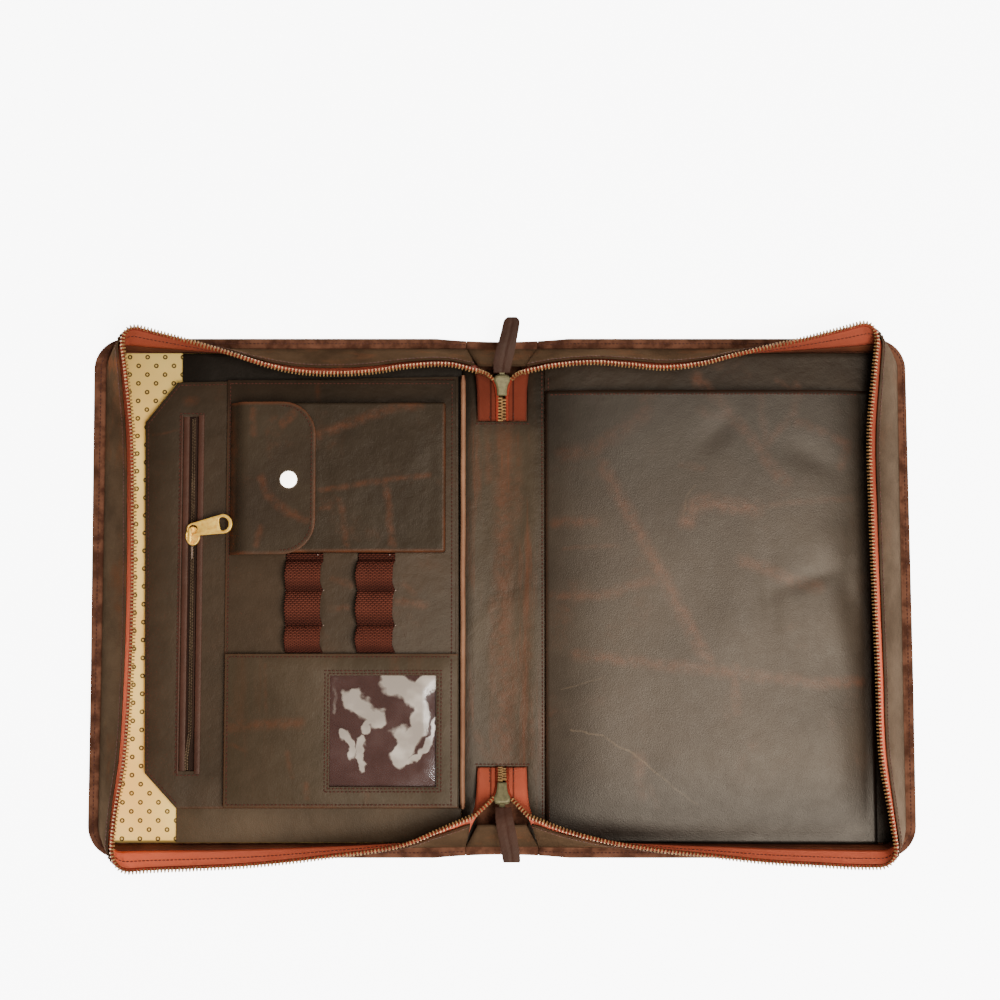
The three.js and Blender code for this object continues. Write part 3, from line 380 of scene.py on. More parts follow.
def dotted_cloth():
    """Cream printed cotton with small dark rings on a centred square lattice."""
    f = Finish("dotted_cloth", Roughness=0.85, Specular_IOR_Level=0.1)
    pitch, start_x, start_y = 11.8, 102.6, 103.0
    mottle = f.noise(0.02, 3.0)
    threads = weave(f.x, f.y, 0.42) * 0.5 + 0.5
    colour = f.mix(mottle.fade(0.3, 0.7), rgb(246, 196, 102), rgb(255, 217, 121))
    colour = f.mix(threads * 0.12, colour, rgb(190, 142, 84))
    rings = None
    for shift in (0.0, 0.5):
        x, y = [((axis / pitch + (start + shift)).fraction() - 0.5) * pitch
                for axis, start in ((f.x, start_x), (f.y, start_y))]
        away = f.math("SQRT", x * x + y * y)
        ring = (away.fade(0.5, 0.9) * 0.75 + 0.25) * (1 - away.fade(1.45, 1.8))
        rings = ring if rings is None else rings.most(ring)
    worn = f.noise(0.9, 3.0).fade(0.2, 0.5) * 0.25 + 0.72
    colour = f.mix(rings * worn, colour, rgb(56, 40, 27))
    # Painted shade: darker towards the top, and nearly black in a thin band along the foot of the lower wall.
    foot = EDGE_CLEAR - BASE_HY
    f.feed(Base_Color=paint_shade(f, colour, [(1, 90.0, 150.0, 0.4), (1, foot + 2.2, foot + 1.0, 0.8)]))
    f.bump(threads * 0.06 + mottle * 0.6, 1.0)
    return f.material


def plain_cloth(name, light, dark, pitch=0.5, rough=0.85):
    f = Finish(name, Roughness=rough, Specular_IOR_Level=0.1)
    mottle = f.noise(0.05, 4.0)
    threads = weave(f.x + f.z, f.y, pitch)
    f.feed(Base_Color=f.mix((mottle * 0.7 + threads * 0.12 + 0.1).fade(0.2, 0.75), dark, light))
    f.bump(threads * 0.5 + mottle, 0.25)
    return f.material


def woven_tape(name, light, dark, rib, depth=0.35, dim=0.0, turns=()):
    """Tape or elastic on its own UV map in mm: ribs along it, floats of twice their width across them.
    dim is how strong the painted shade is on the flat ends at the spine, along their fold lines, and towards the
    top;
    turns is where its loops start and how long each is, and gives painted shade to the lower part and start of
    each loop."""
    f = Finish(name, Roughness=0.8, Specular_IOR_Level=0.08)
    u, v = f.split(f.node("ShaderNodeUVMap"))[:2]
    row = v / rib
    stagger = f.math("FLOOR", row) * 0.5
    across = ((u / (rib * 2) + stagger).fraction() - 0.5).size() * 2
    ridge = (row.fraction() - 0.5).size() * 2
    threads = (1 - ridge * ridge) * (1 - across * across * across)
    colour = f.mix((threads * 0.75 + f.noise(0.08, 4.0) * 0.4).fade(0.1, 1.0), dark, light)
    # Painted shade on each loop: darker on its lower part and at its start.
    if turns:
        turn = ((v - turns[0]) / turns[1] + 1.0).fraction()
        colour = f.dim(colour, (1 - turn.fade(0.45, 0.98) * 0.5) * (turn.fade(0.0, 0.1) * 0.45 + 0.55))
    # Painted shade on the tape: darker along two fold lines on its flat ends, towards the spine and towards the
    # top.
    if dim:
        near = f.x.size()
        fold_shade = (1 - (near - 7.4).size().fade(0.2, 0.9)) * (1 - near.fade(15.5, 16.5)) * (1 - f.z.fade(16.5, 18.5))
        colour = f.dim(colour, (1 - fold_shade * dim) * (1 - (1 - near.fade(22.0, 34.0)) * (dim * 0.85)))
        colour = paint_shade(f, colour, [(1, -70.0, 100.0, dim)])
    f.feed(Base_Color=colour)
    f.bump(threads, depth)
    return f.material


def metal(name, light, dark, rough, share, **constants):
    f = Finish(name, Metallic=share, **constants)
    stain = f.noise(0.4, 4.0, rough=0.6)
    brushed = f.noise(2.0, 3.0, f.stretched(0.2, 1.6))
    f.feed(Base_Color=f.mix(stain.fade(0.3, 0.7), dark, light),
           Roughness=(brushed - 0.5) * 0.14 + rough + (stain - 0.5) * 0.12)
    f.bump(brushed * 0.5 + stain * 0.5, 0.05)
    return f.material


def thread(name, light, dark):
    f = Finish(name, Roughness=0.7, Specular_IOR_Level=0.15)
    twist = ((f.x + f.y) * 9.0).sine() * 0.5 + 0.5
    f.feed(Base_Color=f.mix((twist * 0.4 + f.noise(0.2, 3.0) * 0.6).fade(0.25, 0.75), dark, light))
    f.bump(twist, 0.08)
    return f.material


def clear_film():
    """Thin soft vinyl: mostly see-through, a little hazy where it clings, with painted reflections as pale
    patches.
    """
    f = Finish("window_film", IOR=1.6, Specular_IOR_Level=1.0, Coat_Weight=1.0, Coat_Roughness=0.05)
    place = f.wobbled(0.11, 2.0, 11.0)
    # Painted reflection: pale, less clear patches along the lines above.
    gleam = (line_marks(f, FILM_PAINTED_GLEAMS, place) + (f.noise(0.12, 3.0) - 0.5) * 0.3).fade(0.36, 0.7)
    haze = f.noise(0.05, 3.0).fade(0.4, 0.7)
    f.feed(Base_Color=f.mix(gleam, rgb(100, 74, 66), rgb(190, 174, 156)),
           Alpha=(gleam * (haze * 0.35 + 0.55)).most(haze * 0.1 + 0.06), Roughness=haze * 0.1 + 0.12)
    return f.material


# Making pieces

def put(name, data):
    """A new object in the scene."""
    made = bpy.data.objects.new(name, data)
    bpy.context.scene.collection.objects.link(made)
    return made


def keep(bm, name, material, nodes=(), body="case", bevel=0.0, thick=0.0, inward=-1.0, smooth=True,
         recalc=True):
    """The finished piece: in metres, at the origin, riding on its body."""
    bmesh.ops.remove_doubles(bm, verts=bm.verts[:], dist=0.001)
    if recalc:
        bm.normal_update()
        bmesh.ops.recalc_face_normals(bm, faces=bm.faces[:])
    bmesh.ops.scale(bm, vec=(MM, MM, MM), verts=bm.verts[:])
    mesh = bpy.data.meshes.new(name)
    bm.to_mesh(mesh)
    bm.free()
    piece = put(name, mesh)
    mesh.materials.append(material)
    for polygon in mesh.polygons:
        polygon.use_smooth = smooth
    if thick:
        wall = piece.modifiers.new("thickness", "SOLIDIFY")
        wall.thickness, wall.offset, wall.use_even_offset = thick * MM, inward, True
    if bevel:
        edge = piece.modifiers.new("edges", "BEVEL")
        edge.width, edge.segments = bevel * MM, 2
        edge.limit_method, edge.angle_limit = "ANGLE", math.radians(40)
    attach(piece, body)
    if nodes:
        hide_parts(*nodes)
    return piece


def bent_grid(across, along, place):
    """A grid of faces bent so that each share (u, v) of it lies at place(u, v); its UV map is u, v."""
    bm = bmesh.new()
    bm.loops.layers.uv.verify()
    bmesh.ops.create_grid(bm, x_segments=across, y_segments=along, size=0.5, calc_uvs=True)
    for v in bm.verts:
        v.co = place(v.co.x + 0.5, v.co.y + 0.5)
    return bm


def row_grid(rows):
    """A grid of faces through rows of points."""
    last, count = len(rows) - 1, len(rows[0]) - 1
    return bent_grid(last, count, lambda u, v: rows[round(u * last)][round(v * count)])


def scale_uv(bm, width, length):
    layer = bm.loops.layers.uv.verify()
    for face in bm.faces:
        for loop in face.loops:
            u, v = loop[layer].uv
            loop[layer].uv = (u * width, v * length)


def add_box(bm, size, middle):
    made = bmesh.ops.create_cube(bm, size=1.0)["verts"]
    bmesh.ops.scale(bm, vec=size, verts=made)
    bmesh.ops.translate(bm, verts=made, vec=middle)


def thicken(bm, faces, height, keep_below=False):
    """Draws the faces upwards; the vertices that were raised."""
    made = bmesh.ops.extrude_face_region(bm, geom=faces, use_keep_orig=keep_below)["geom"]
    raised = [g for g in made if isinstance(g, bmesh.types.BMVert)]
    bmesh.ops.translate(bm, verts=raised, vec=(0, 0, height))
    return raised


def soften(bm, edges, width, segments):
    bmesh.ops.bevel(bm, geom=edges, offset=width, segments=segments, profile=0.5, affect="EDGES", material=-1)


def rim_edges(bm, angle, level):
    """Sharp edges that run level."""
    return [e for e in bm.edges if len(e.link_faces) == 2 and e.calc_face_angle(0) > angle
            and abs(e.verts[0].co.z - e.verts[1].co.z) < level]


def arc(x, y, r, start, end, steps=8):
    turns = [math.radians(start + (end - start) * i / steps) for i in range(steps + 1)]
    return [(x + r * math.cos(a), y + r * math.sin(a)) for a in turns]


def rounded(x0, x1, y0, y1, ul=0.0, ur=0.0, lr=0.0, ll=0.0):
    """Outline of a rectangle with its own radius at each corner."""
    corners = ((x1 - lr, y0 + lr, lr, -90), (x1 - ur, y1 - ur, ur, 0), (x0 + ul, y1 - ul, ul, 90),
               (x0 + ll, y0 + ll, ll, 180))
    points = []
    for x, y, r, start in corners:
        points += arc(x, y, r, start, start + 90) if r else [(x, y)]
    return points


def cut_grid(bm, axis, places):
    normal = (1, 0, 0) if axis == 0 else (0, 1, 0)
    for place in places:
        geom = bm.verts[:] + bm.edges[:] + bm.faces[:]
        at = (place, 0, 0) if axis == 0 else (0, place, 0)
        bmesh.ops.bisect_plane(bm, geom=geom, dist=0.0005, plane_co=at, plane_no=normal)


def panel(points, z, thick, cell=0.0, hole=None, edge=0.45, rise=None):
    """A flat piece of leather or cloth with soft edges; rise(x, y) lifts it."""
    bm = bmesh.new()
    bm.faces.new([bm.verts.new((x, y, z)) for x, y in points])
    xs, ys = [p[0] for p in points], [p[1] for p in points]
    if hole:
        cut_grid(bm, 0, hole[:2])
        cut_grid(bm, 1, hole[2:])
    if cell:
        cut_grid(bm, 0, [min(xs) + cell * k for k in range(1, math.ceil((max(xs) - min(xs)) / cell))])
        cut_grid(bm, 1, [min(ys) + cell * k for k in range(1, math.ceil((max(ys) - min(ys)) / cell))])
    if hole:
        x0, x1, y0, y1 = hole
        middles = [(f, f.calc_center_median()) for f in bm.faces]
        inside = [f for f, m in middles if x0 < m.x < x1 and y0 < m.y < y1]
        bmesh.ops.delete(bm, geom=inside, context="FACES")
    bmesh.ops.recalc_face_normals(bm, faces=bm.faces[:])
    if bm.faces[:][0].normal.z < 0:
        bmesh.ops.reverse_faces(bm, faces=bm.faces[:])
    thicken(bm, bm.faces[:], thick, keep_below=True)
    bmesh.ops.recalc_face_normals(bm, faces=bm.faces[:])
    soften(bm, rim_edges(bm, 1.0, thick / 2), edge, 2)
    if rise:
        for v in bm.verts:
            v.co.z += rise(v.co.x, v.co.y)
    return bm


def copies(template, places):
    """One mesh with a copy of the template at each place."""
    small = bpy.data.meshes.new("copy")
    template.to_mesh(small)
    template.free()
    bm = bmesh.new()
    for place in places:
        one = small.copy()
        one.transform(place)
        bm.from_mesh(one)
        bpy.data.meshes.remove(one)
    bpy.data.meshes.remove(small)
    return bm


def frame_at(place, along, normal):
    """Matrix that puts a shape at place, its x along the path and its z along the normal."""
    x = along.normalized()
    y = normal.cross(x).normalized()
    z = x.cross(y).normalized()
    turned = Matrix((x, y, z)).transposed().to_4x4()
    return Matrix.Translation(place) @ turned


def bead(length, width, height):
    """Rounded grain lying along x: a stitch, or one turn of a coil."""
    bm = bmesh.new()
    bmesh.ops.create_uvsphere(bm, u_segments=6, v_segments=4, radius=0.5)
    bmesh.ops.rotate(bm, matrix=Matrix.Rotation(math.pi / 2, 3, "Y"), verts=bm.verts[:])
    bmesh.ops.scale(bm, vec=(length, width, height), verts=bm.verts[:])
    return bm


def walk(points, pitch):
    """Places at an even pitch along a line of points, with the direction of the line there."""
    left = pitch / 2
    for a, b in zip(points, points[1:]):
        run = b - a
        length = run.length
        if length < 1e-6:
            continue
        while left <= length:
            yield a + run * (left / length), run
            left += pitch
        left -= length


def seam(points, z):
    """Places of stitches along a flat line, a hair above the leather."""
    line = [Vector((x, y, z if not callable(z) else z(x, y))) for x, y in points]
    return [frame_at(p, d, UP) for p, d in walk(line, STITCH_PITCH)]


def stitches(name, places, material):
    keep(copies(bead(*STITCH), places), name, material, recalc=False)


def ring_path(x0, x1, y0, y1):
    return [(x0, y0), (x1, y0), (x1, y1), (x0, y1), (x0, y0)]


# Route of the wall and its zip, as in the CAD model: lean of the wall at shares of the way round

LEAN = {
    "left": (
        (0.0, 0.25, -0.57), (0.024, 0.28, -0.43), (0.059, 0.29, -0.47), (0.089, 0.3, -0.58),
        (0.119, 0.31, -0.62), (0.149, 0.32, -0.58), (0.178, 0.36, -0.43), (0.208, 0.41, -0.18),
        (0.238, 0.46, 0.05), (0.267, 0.49, 0.26), (0.297, 0.4, 0.46), (0.33, 0.54, 0.31), (0.378, 0.69, 0.2),
        (0.439, 0.74, 0.05), (0.5, 0.76, -0.09), (0.561, 0.73, -0.22), (0.622, 0.64, -0.33),
        (0.67, 0.45, -0.39), (0.703, 0.39, -0.51), (0.733, 0.46, -0.47), (0.762, 0.44, -0.44),
        (0.807, 0.42, -0.38), (0.851, 0.39, -0.27), (0.881, 0.37, -0.17), (0.911, 0.35, -0.07),
        (0.941, 0.31, 0.08), (0.97, 0.23, 0.37), (1.0, 0.15, 0.67),
    ),
    "right": (
        (0.0, -0.33, -0.59), (0.024, -0.38, -0.46), (0.059, -0.4, -0.38), (0.089, -0.42, -0.43),
        (0.119, -0.43, -0.49), (0.149, -0.45, -0.41), (0.178, -0.49, -0.22), (0.208, -0.53, -0.03),
        (0.238, -0.56, 0.15), (0.267, -0.58, 0.35), (0.297, -0.49, 0.56), (0.33, -0.59, 0.43),
        (0.378, -0.72, 0.31), (0.439, -0.72, 0.16), (0.5, -0.69, 0.02), (0.561, -0.65, -0.1),
        (0.622, -0.61, -0.2), (0.67, -0.43, -0.25), (0.703, -0.29, -0.38), (0.733, -0.32, -0.4),
        (0.762, -0.32, -0.36), (0.807, -0.33, -0.29), (0.851, -0.33, -0.16), (0.881, -0.33, -0.08),
        (0.911, -0.32, 0.03), (0.941, -0.31, 0.18), (0.97, -0.28, 0.39), (1.0, -0.2, 0.67),
    ),
}
TOP_RUN = BASE_HX - BASE_R - WALL_START
CORNER_RUN = BASE_R * math.pi / 2
SIDE_RUN = 2 * (BASE_HY - BASE_R)
FULL_RUN = 2 * TOP_RUN + 2 * CORNER_RUN + SIDE_RUN


def around(rows, i):
    """Row i with the one before it and the two after it, as far as there are any."""
    return [rows[min(max(k, 0), len(rows) - 1)] for k in (i - 1, i, i + 1, i + 2)]


def hermite(a, b, slope_a, slope_b, s):
    """Smooth way from a to b that leaves and arrives with the slopes."""
    s2, s3 = s * s, s * s * s
    return a * (2 * s3 - 3 * s2 + 1) + slope_a * (s3 - 2 * s2 + s) + b * (3 * s2 - 2 * s3) + slope_b * (s3 - s2)


def lean_at(rows, t):
    """Lean along x and y at a share of the way round."""
    last = len(rows) - 1
    i = next((k for k, r in enumerate(rows) if r[0] > t), last) - 1
    before, a, b, after = around(rows, min(max(i, 0), last - 1))
    w = b[0] - a[0]
    s = min(max((t - a[0]) / w, 0), 1)
    return [hermite(a[c], b[c], (b[c] - before[c]) / (b[0] - before[0]) * w,
                    (after[c] - a[c]) / (after[0] - a[0]) * w, s) for c in (1, 2)]


class Station:
    """One place on the way round: foot of the wall, direction up the wall and through it."""

    def __init__(self, name, t):
        side = -1 if name == "left" else 1
        flip = -1 if t > 0.5 else 1
        s = (1 - t if t > 0.5 else t) * FULL_RUN
        turn = min((s - TOP_RUN) / BASE_R, math.pi / 2) if s > TOP_RUN else 0.0
        down = max(s - TOP_RUN - CORNER_RUN, 0)
        x = WALL_START + min(s, TOP_RUN) + BASE_R * math.sin(turn)
        y = BASE_HY - BASE_R + BASE_R * math.cos(turn) - down
        lean_x, lean_y = lean_at(LEAN[name], t)
        self.base = Vector((side * x, flip * y, Z_FOOT + WALL_T))
        self.out = Vector((side * math.sin(turn), flip * math.cos(turn), 0))
        self.up = Vector((lean_x, lean_y, math.sqrt(1 - lean_x ** 2 - lean_y ** 2)))
        self.through = Vector((self.out.y, -self.out.x, 0)).cross(self.up).normalized()
        if self.through.dot(self.out) > 0:
            self.through.negate()

    def spot(self, high, deep):
        return self.base + self.up * high + self.through * deep


def stations(name, *steps):
    """Places on the way round; steps counts them for each run, corner, run, corner and run."""
    ends = (TOP_RUN, TOP_RUN + CORNER_RUN, TOP_RUN + CORNER_RUN + SIDE_RUN, FULL_RUN - TOP_RUN, FULL_RUN)
    line, start = [0.0], 0.0
    for end, n in zip(ends, steps):
        line += [(start + (end - start) * (i + 1) / n) / FULL_RUN for i in range(n)]
        start = end
    return [Station(name, t) for t in line]


def even_stations(name, count):
    return [Station(name, i / count) for i in range(count + 1)]


# Finishes

shell = shell_leather()
RUST = rgb(88, 48, 28)
PANEL, PANEL_DEEP = rgb(58, 44, 31), rgb(45, 34, 23)
# Painted shade: nearly black from y -60 upwards, lighter towards the bottom wall.
base_leather = leather("base_leather", rgb(71, 56, 40), rgb(53, 41, 28), rgb(70, 44, 28), wrinkle=0.2,
                       painted_shades=((1, -150.0, -60.0, 0.94),))
pull_leather = leather("pull_leather", rgb(57, 31, 21), rgb(38, 19, 13), rgb(78, 42, 28), wrinkle=0.5, rough=0.55)
binding = leather("binding_leather", rgb(143, 103, 76), rgb(100, 66, 47), rgb(160, 112, 82), streaks=0.6)
wall_cloth = plain_cloth("wall_cloth", rgb(92, 48, 28), rgb(62, 31, 18))
slot_edge_leather = leather("slot_edge_leather", rgb(68, 40, 30), rgb(50, 28, 20), rgb(84, 50, 36), wrinkle=0.3)
backing = plain_cloth("window_backing", rgb(74, 48, 42), rgb(56, 35, 30), rough=0.5)
# Zip tape with painted shade along its fold lines, on its flat ends by the spine and towards the top.
tape = woven_tape("zip_tape", rgb(255, 130, 94), rgb(232, 96, 66), 0.55, depth=0.2, dim=0.66)
tape_cord = plain_cloth("tape_cord", rgb(140, 52, 32), rgb(90, 30, 18))
pocket_tape = woven_tape("pocket_zip_tape", rgb(50, 34, 26), rgb(32, 21, 15), 0.6)
# Elastic with painted shade on the lower part and start of each loop.
elastic = woven_tape("elastic", rgb(99, 50, 36), rgb(49, 22, 16), 1.4, depth=0.6, turns=(5.4, 28.4))
teeth_metal = metal("zip_teeth", rgb(162, 124, 74), rgb(106, 72, 39), 0.62, 0.5)
slider_metal = metal("slider_metal", rgb(108, 99, 66), rgb(84, 76, 48), 0.6, 0.5)
tag_metal = metal("tag_brass", rgb(254, 210, 98), rgb(234, 174, 72), 0.42, 0.6)
# Painted light: the snap's cap glows to stand in for its bright shine.
snap_metal = metal("snap_metal", rgb(252, 251, 246), rgb(240, 238, 230), 0.3, 0.1,
                   Emission_Color=(1.0, 0.95, 0.82, 1.0), Emission_Strength=5.5)
coil_nylon = plain_cloth("pocket_coil", rgb(120, 98, 74), rgb(60, 44, 32), 0.9, 0.5)
# Pale nylon for the loop knots, and for a painted highlight on the closed coil in the slot.
knot_and_highlight_nylon = plain_cloth("pale_nylon_knots_and_painted_highlight", rgb(176, 152, 138), rgb(130, 106, 92), 0.9, 0.4)
dark_thread = thread("dark_thread", rgb(58, 26, 18), rgb(36, 16, 11))
seam_thread = thread("seam_thread", rgb(80, 44, 33), rgb(52, 27, 20))
rust_thread = thread("rust_thread", rgb(76, 43, 30), rgb(50, 26, 18))


# Covers and spine

def strip_reach(x):
    """How far the sewn edge strip reaches out; it draws in a little at the spine."""
    return FLANGE + 0.7 - 2.2 * max(0.0, 1 - (x / 44) ** 2)


def drawn(x, y):
    """The upper corners of the covers lie a little to the left."""
    return x - 1.5 * max(0.0, (y + 60) / 230) if abs(x) > 200 else x


for piece_name, node_name, outline in (
    ("cover_left", "left_cover", rounded(-HALF_W, -SPINE_HALF - GAP, -HALF_H, HALF_H, ul=COVER_R, ll=COVER_R)),
    ("cover_right", "right_cover", rounded(SPINE_HALF + GAP, HALF_W, -HALF_H, HALF_H, ur=COVER_R, lr=COVER_R)),
    ("spine_outer", "spine_panel", rounded(-SPINE_HALF, SPINE_HALF, SPINE_DIP - HALF_H, HALF_H - SPINE_DIP)),
):
    sheet = panel([(drawn(x, y), y) for x, y in outline], 0, COVER_T, cell=24, edge=0.6)
    keep(sheet, piece_name, shell, [node_name])


# Walls, their lining, the zip tape and the teeth

def wall_side(bm):
    """Solidify's offset that puts the thickness inside the case."""
    bm.normal_update()
    bmesh.ops.recalc_face_normals(bm, faces=bm.faces[:])
    bm.normal_update()
    return -1.0 if sum(f.normal.z * f.calc_area() for f in bm.faces) > 0 else 1.0


def wall_profile(s):
    """Points from the edge of the sewn strip over the fold and up the wall, which swells and creases a little."""
    foot, strip = s.base, s.out * strip_reach(s.base.x)
    strip.x = drawn(foot.x + strip.x, foot.y) - foot.x
    points = [foot + strip - UP * 0.9, foot + strip * 0.97 - UP * 0.15, foot + strip * 0.9,
              foot + strip * 0.5 + UP * 0.12, foot + s.out * 1.5, foot + s.out * 0.75 - UP * 0.5,
              foot + s.up * 0.7 - s.through * 0.15, s.spot(1.8, -0.3)]
    for k in range(1, 9):
        high = 1.8 + (WALL_H - 1.8) * k / 8
        swell = 0.35 * math.sin(math.pi * k / 8)
        pull = 0.5 * noise.noise(s.spot(high, 0) * 0.045) + 0.22 * noise.noise(s.spot(high, 0) * 0.16)
        points.append(s.spot(high, -0.25 - swell - pull * math.sin(math.pi * min(k / 8, 0.93))))
    return points


def wall(name):
    """Sewn edge strip, fold and leather wall in one piece."""
    bm = row_grid([wall_profile(s) for s in stations(name, 56, 18, 60, 18, 56)])
    keep(bm, f"wall_{name}", shell, [f"{name}_gusset"], thick=1.1, inward=wall_side(bm))


def wall_lining(name):
    """Cloth inside the wall, from the base panel to the lower edge of the tape."""
    deep, foot_z = WALL_T + 1.0, Z_FOOT + PANEL_T + GAP + 0.3
    rows = []
    for s in stations(name, 40, 14, 44, 14, 40):
        low = max(0.3, (foot_z - s.base.z - deep * s.through.z) / s.up.z)
        rows.append([s.spot(low + (TAPE_LOW - GAP - low) * k / 3, deep) for k in range(4)])
    keep(row_grid(rows), f"wall_lining_{name}", wall_cloth, [f"{name}_gusset_lining"], thick=0.8,
         inward=0.0)


TAPE_END = (
    # from the notch round the slider: x, share of the way, z of the tape's edge, then of its rim
    (3.4, -1.0, 4.4, 15.9, -1.0, 4.3), (3.3, -0.655, 9.6, 16.2, -0.7, 6.4), (3.2, -0.364, 13.2, 16.4, -0.4, 8.0),
    (3.6, -0.2, 14.8, 16.6, -0.064, 9.0), (5.2, 2.0, 17.2, 17.7, 8.2, 9.8), (9.2, 6.2, 20.2, 19.4, 14.6, 11.0),
)


def tape_end(side, end):
    """Rim and edge of each row of the flat end; a share over 0 is a distance past the slider in mm."""
    flip, centre, notch = ENDS[end]

    def spot(x, share, z):
        return Vector((side * x, flip * (centre + share * (centre - notch - 0.7 if share < 0 else 1)), z))

    return [(spot(*row[3:]), spot(*row[:3])) for row in TAPE_END]


def zip_tape(name):
    """Woven tape inside the wall, turned flat at both ends of the spine; gives the points along its edge."""
    side = -1 if name == "left" else 1
    deep = WALL_T + 0.5 + TAPE_T / 2
    rows = tape_end(side, "top")
    rows += [(s.spot(TAPE_LOW, deep), s.spot(ZIP_H - 1.9, deep)) for s in stations(name, 56, 18, 60, 18, 56)]
    rows += tape_end(side, "bottom")[::-1]
    eased, turn = [], len(TAPE_END)
    for k, row in enumerate(rows[:-1]):
        if turn <= k < len(rows) - turn - 1:
            eased.append(row)
        else:
            rims, edges = zip(*around(rows, k))
            eased += [[hermite(b, c, (c - a) / 2, (d - b) / 2, j / 4) for a, b, c, d in (rims, edges)]
                      for j in range(4)]
    eased.append(rows[-1])
    bm = row_grid([[rim.lerp(edge, k / 6) for k in range(7)] for rim, edge in eased])
    scale_uv(bm, FULL_RUN + 40, 16)
    keep(bm, f"tape_{name}", tape, [f"{name}_zip_tape"], thick=0.7, inward=0.0)
    return [edge for rim, edge in eased]


def tape_bead(name, edge_line):
    """Round cord in the edge of the tape, closed at both ends."""
    radius, sides = 1.1, 8
    points = [p + UP * 0.6 for p in edge_line]

    def place(u, v):
        before, middle, after, _ = around(points, round(v * (len(points) - 1)))
        turn = 2 * math.pi * u
        return frame_at(middle, after - before, UP) @ Vector((0, math.cos(turn) * radius, math.sin(turn) * radius))

    bm = bent_grid(sides, len(points) - 1, place)
    bmesh.ops.remove_doubles(bm, verts=bm.verts[:], dist=0.01)
    bmesh.ops.holes_fill(bm, edges=bm.edges[:], sides=sides)
    keep(bm, f"tape_cord_{name}", tape_cord)


def tooth(size, chamfer, head=1.0):
    """One tooth; head is how wide its upper end is."""
    bm = bmesh.new()
    add_box(bm, size, (0, 0, 0))
    bmesh.ops.scale(bm, vec=(head, head, 1.0), verts=[v for v in bm.verts if v.co.z > 0])
    soften(bm, bm.edges[:], chamfer, 1)
    return bm


def keep_teeth(template, places, name, node):
    keep(copies(template, places), name, teeth_metal, [node], recalc=False, smooth=False)


def zip_teeth(name, edge_line):
    """Teeth from slider to slider, along the edge of the tape."""
    first, last = 17, 24
    ends = [[(line[k] + UP * (1.9 * (k - 15) / 9), UP) for k in range(first, last)]
            for line in (edge_line, edge_line[::-1])]
    both = ends[0] + [(s.spot(ZIP_H, 2.2), s.up) for s in even_stations(name, 900)] + ends[1][::-1]
    line = [p for p, up in both]
    count = last - first
    near = [*range(count), *range(count, len(line) - count, 6), *range(len(line) - count, len(line))]
    places = []
    for p, d in walk(line, TOOTH_PITCH):
        up = both[min(near, key=lambda k: (line[k] - p).length_squared)][1]
        places.append(frame_at(p, d, (up - d.normalized() * up.dot(d.normalized())).normalized()))
    keep_teeth(tooth((1.05, 3.0, 3.1), 0.22, 0.8), places, f"teeth_{name}", f"{name}_zip_teeth")


for side_name in ("left", "right"):
    wall(side_name)
    wall_lining(side_name)
    tape_edge = zip_tape(side_name)
    tape_bead(side_name, tape_edge)
    zip_teeth(side_name, tape_edge)


# Both ends of the spine: wall piece, slider, closed chain and leather pull

def end_wall(name, lean):
    flip = ENDS[name][0]
    rise = math.sqrt(1 - lean * lean)
    strip = 0.25

    def place(u, v):
        k, up = 2 * u - 1, max(v - strip, 0) / (1 - strip)
        x = k * (WALL_START - GAP - 8 * up)
        if v < strip:
            y, z = BASE_HY + strip_reach(x) * (1 - v / strip), Z_FOOT + WALL_T - (0.6 if v == 0 else 0)
        else:
            h = (WALL_H - 3) * up
            y, z = BASE_HY + lean * h, Z_FOOT + WALL_T + rise * h
            z += 0.6 * math.sin(math.pi * h / WALL_H) * (1 - k * k)
        return Vector((x, flip * y, z))

    bm = bent_grid(12, 16, place)
    keep(bm, f"end_wall_{name}", shell, [f"{name}_end_gusset"], thick=1.2, inward=wall_side(bm))


def main_slider(name):
    """Two shields, the upper one crowned, with a post between them and a lug for the pull."""
    flip, centre, _ = ENDS[name]
    half = [(3.1, -6.9), (3.2, -3.6), (3.9, 0.2), (5.35, 3.2), (5.3, 4.9), (4.3, 6.2), (2.4, 6.8)]
    shield = half + [(0.0, 6.9)] + [(-x, y) for x, y in reversed(half)]
    bm = bmesh.new()
    for low, high in ((-2.3, -0.9), (0.9, 2.2)):
        thicken(bm, [bm.faces.new([bm.verts.new((x, y, low)) for x, y in shield])], high - low)
    top_face = max(bm.faces, key=lambda f: f.calc_center_median().z)
    bmesh.ops.inset_individual(bm, faces=[top_face], thickness=1.3, depth=0.5)
    add_box(bm, (3.0, 2.6, 2.2), (0, 5.2, 0))
    add_box(bm, (3.6, 4.4, 1.2), (0, 8.1, -1.4))
    tilt = Matrix.Rotation(0.32, 4, "X")
    if flip < 0:
        tilt = Matrix.Rotation(math.pi, 4, "Z") @ tilt
    at = Matrix.Translation((0, flip * centre, SLIDER_Z))
    bmesh.ops.transform(bm, matrix=at @ tilt, verts=bm.verts[:])
    keep(bm, f"slider_{name}", slider_metal, [f"{name}_slider"], bevel=0.35, smooth=False)


def closed_chain(name):
    """Teeth of both sides locked together between the slider and the spine."""
    flip, centre, notch = ENDS[name]
    line = [Vector((0, flip * (centre - 7.8), SLIDER_Z - 2.6)), Vector((0, flip * (notch + 0.7), 5.0))]
    places = []
    for n, (p, d) in enumerate(walk(line, TOOTH_PITCH / 2)):
        across = Vector((1.2 if n % 2 else -1.2, 0, 0))
        places.append(frame_at(p + across, d, Vector((0, 0.2, 1)).normalized()))
    keep_teeth(tooth((1.15, 3.4, 1.9), 0.3), places, f"chain_{name}", f"{name}_zip_chain")


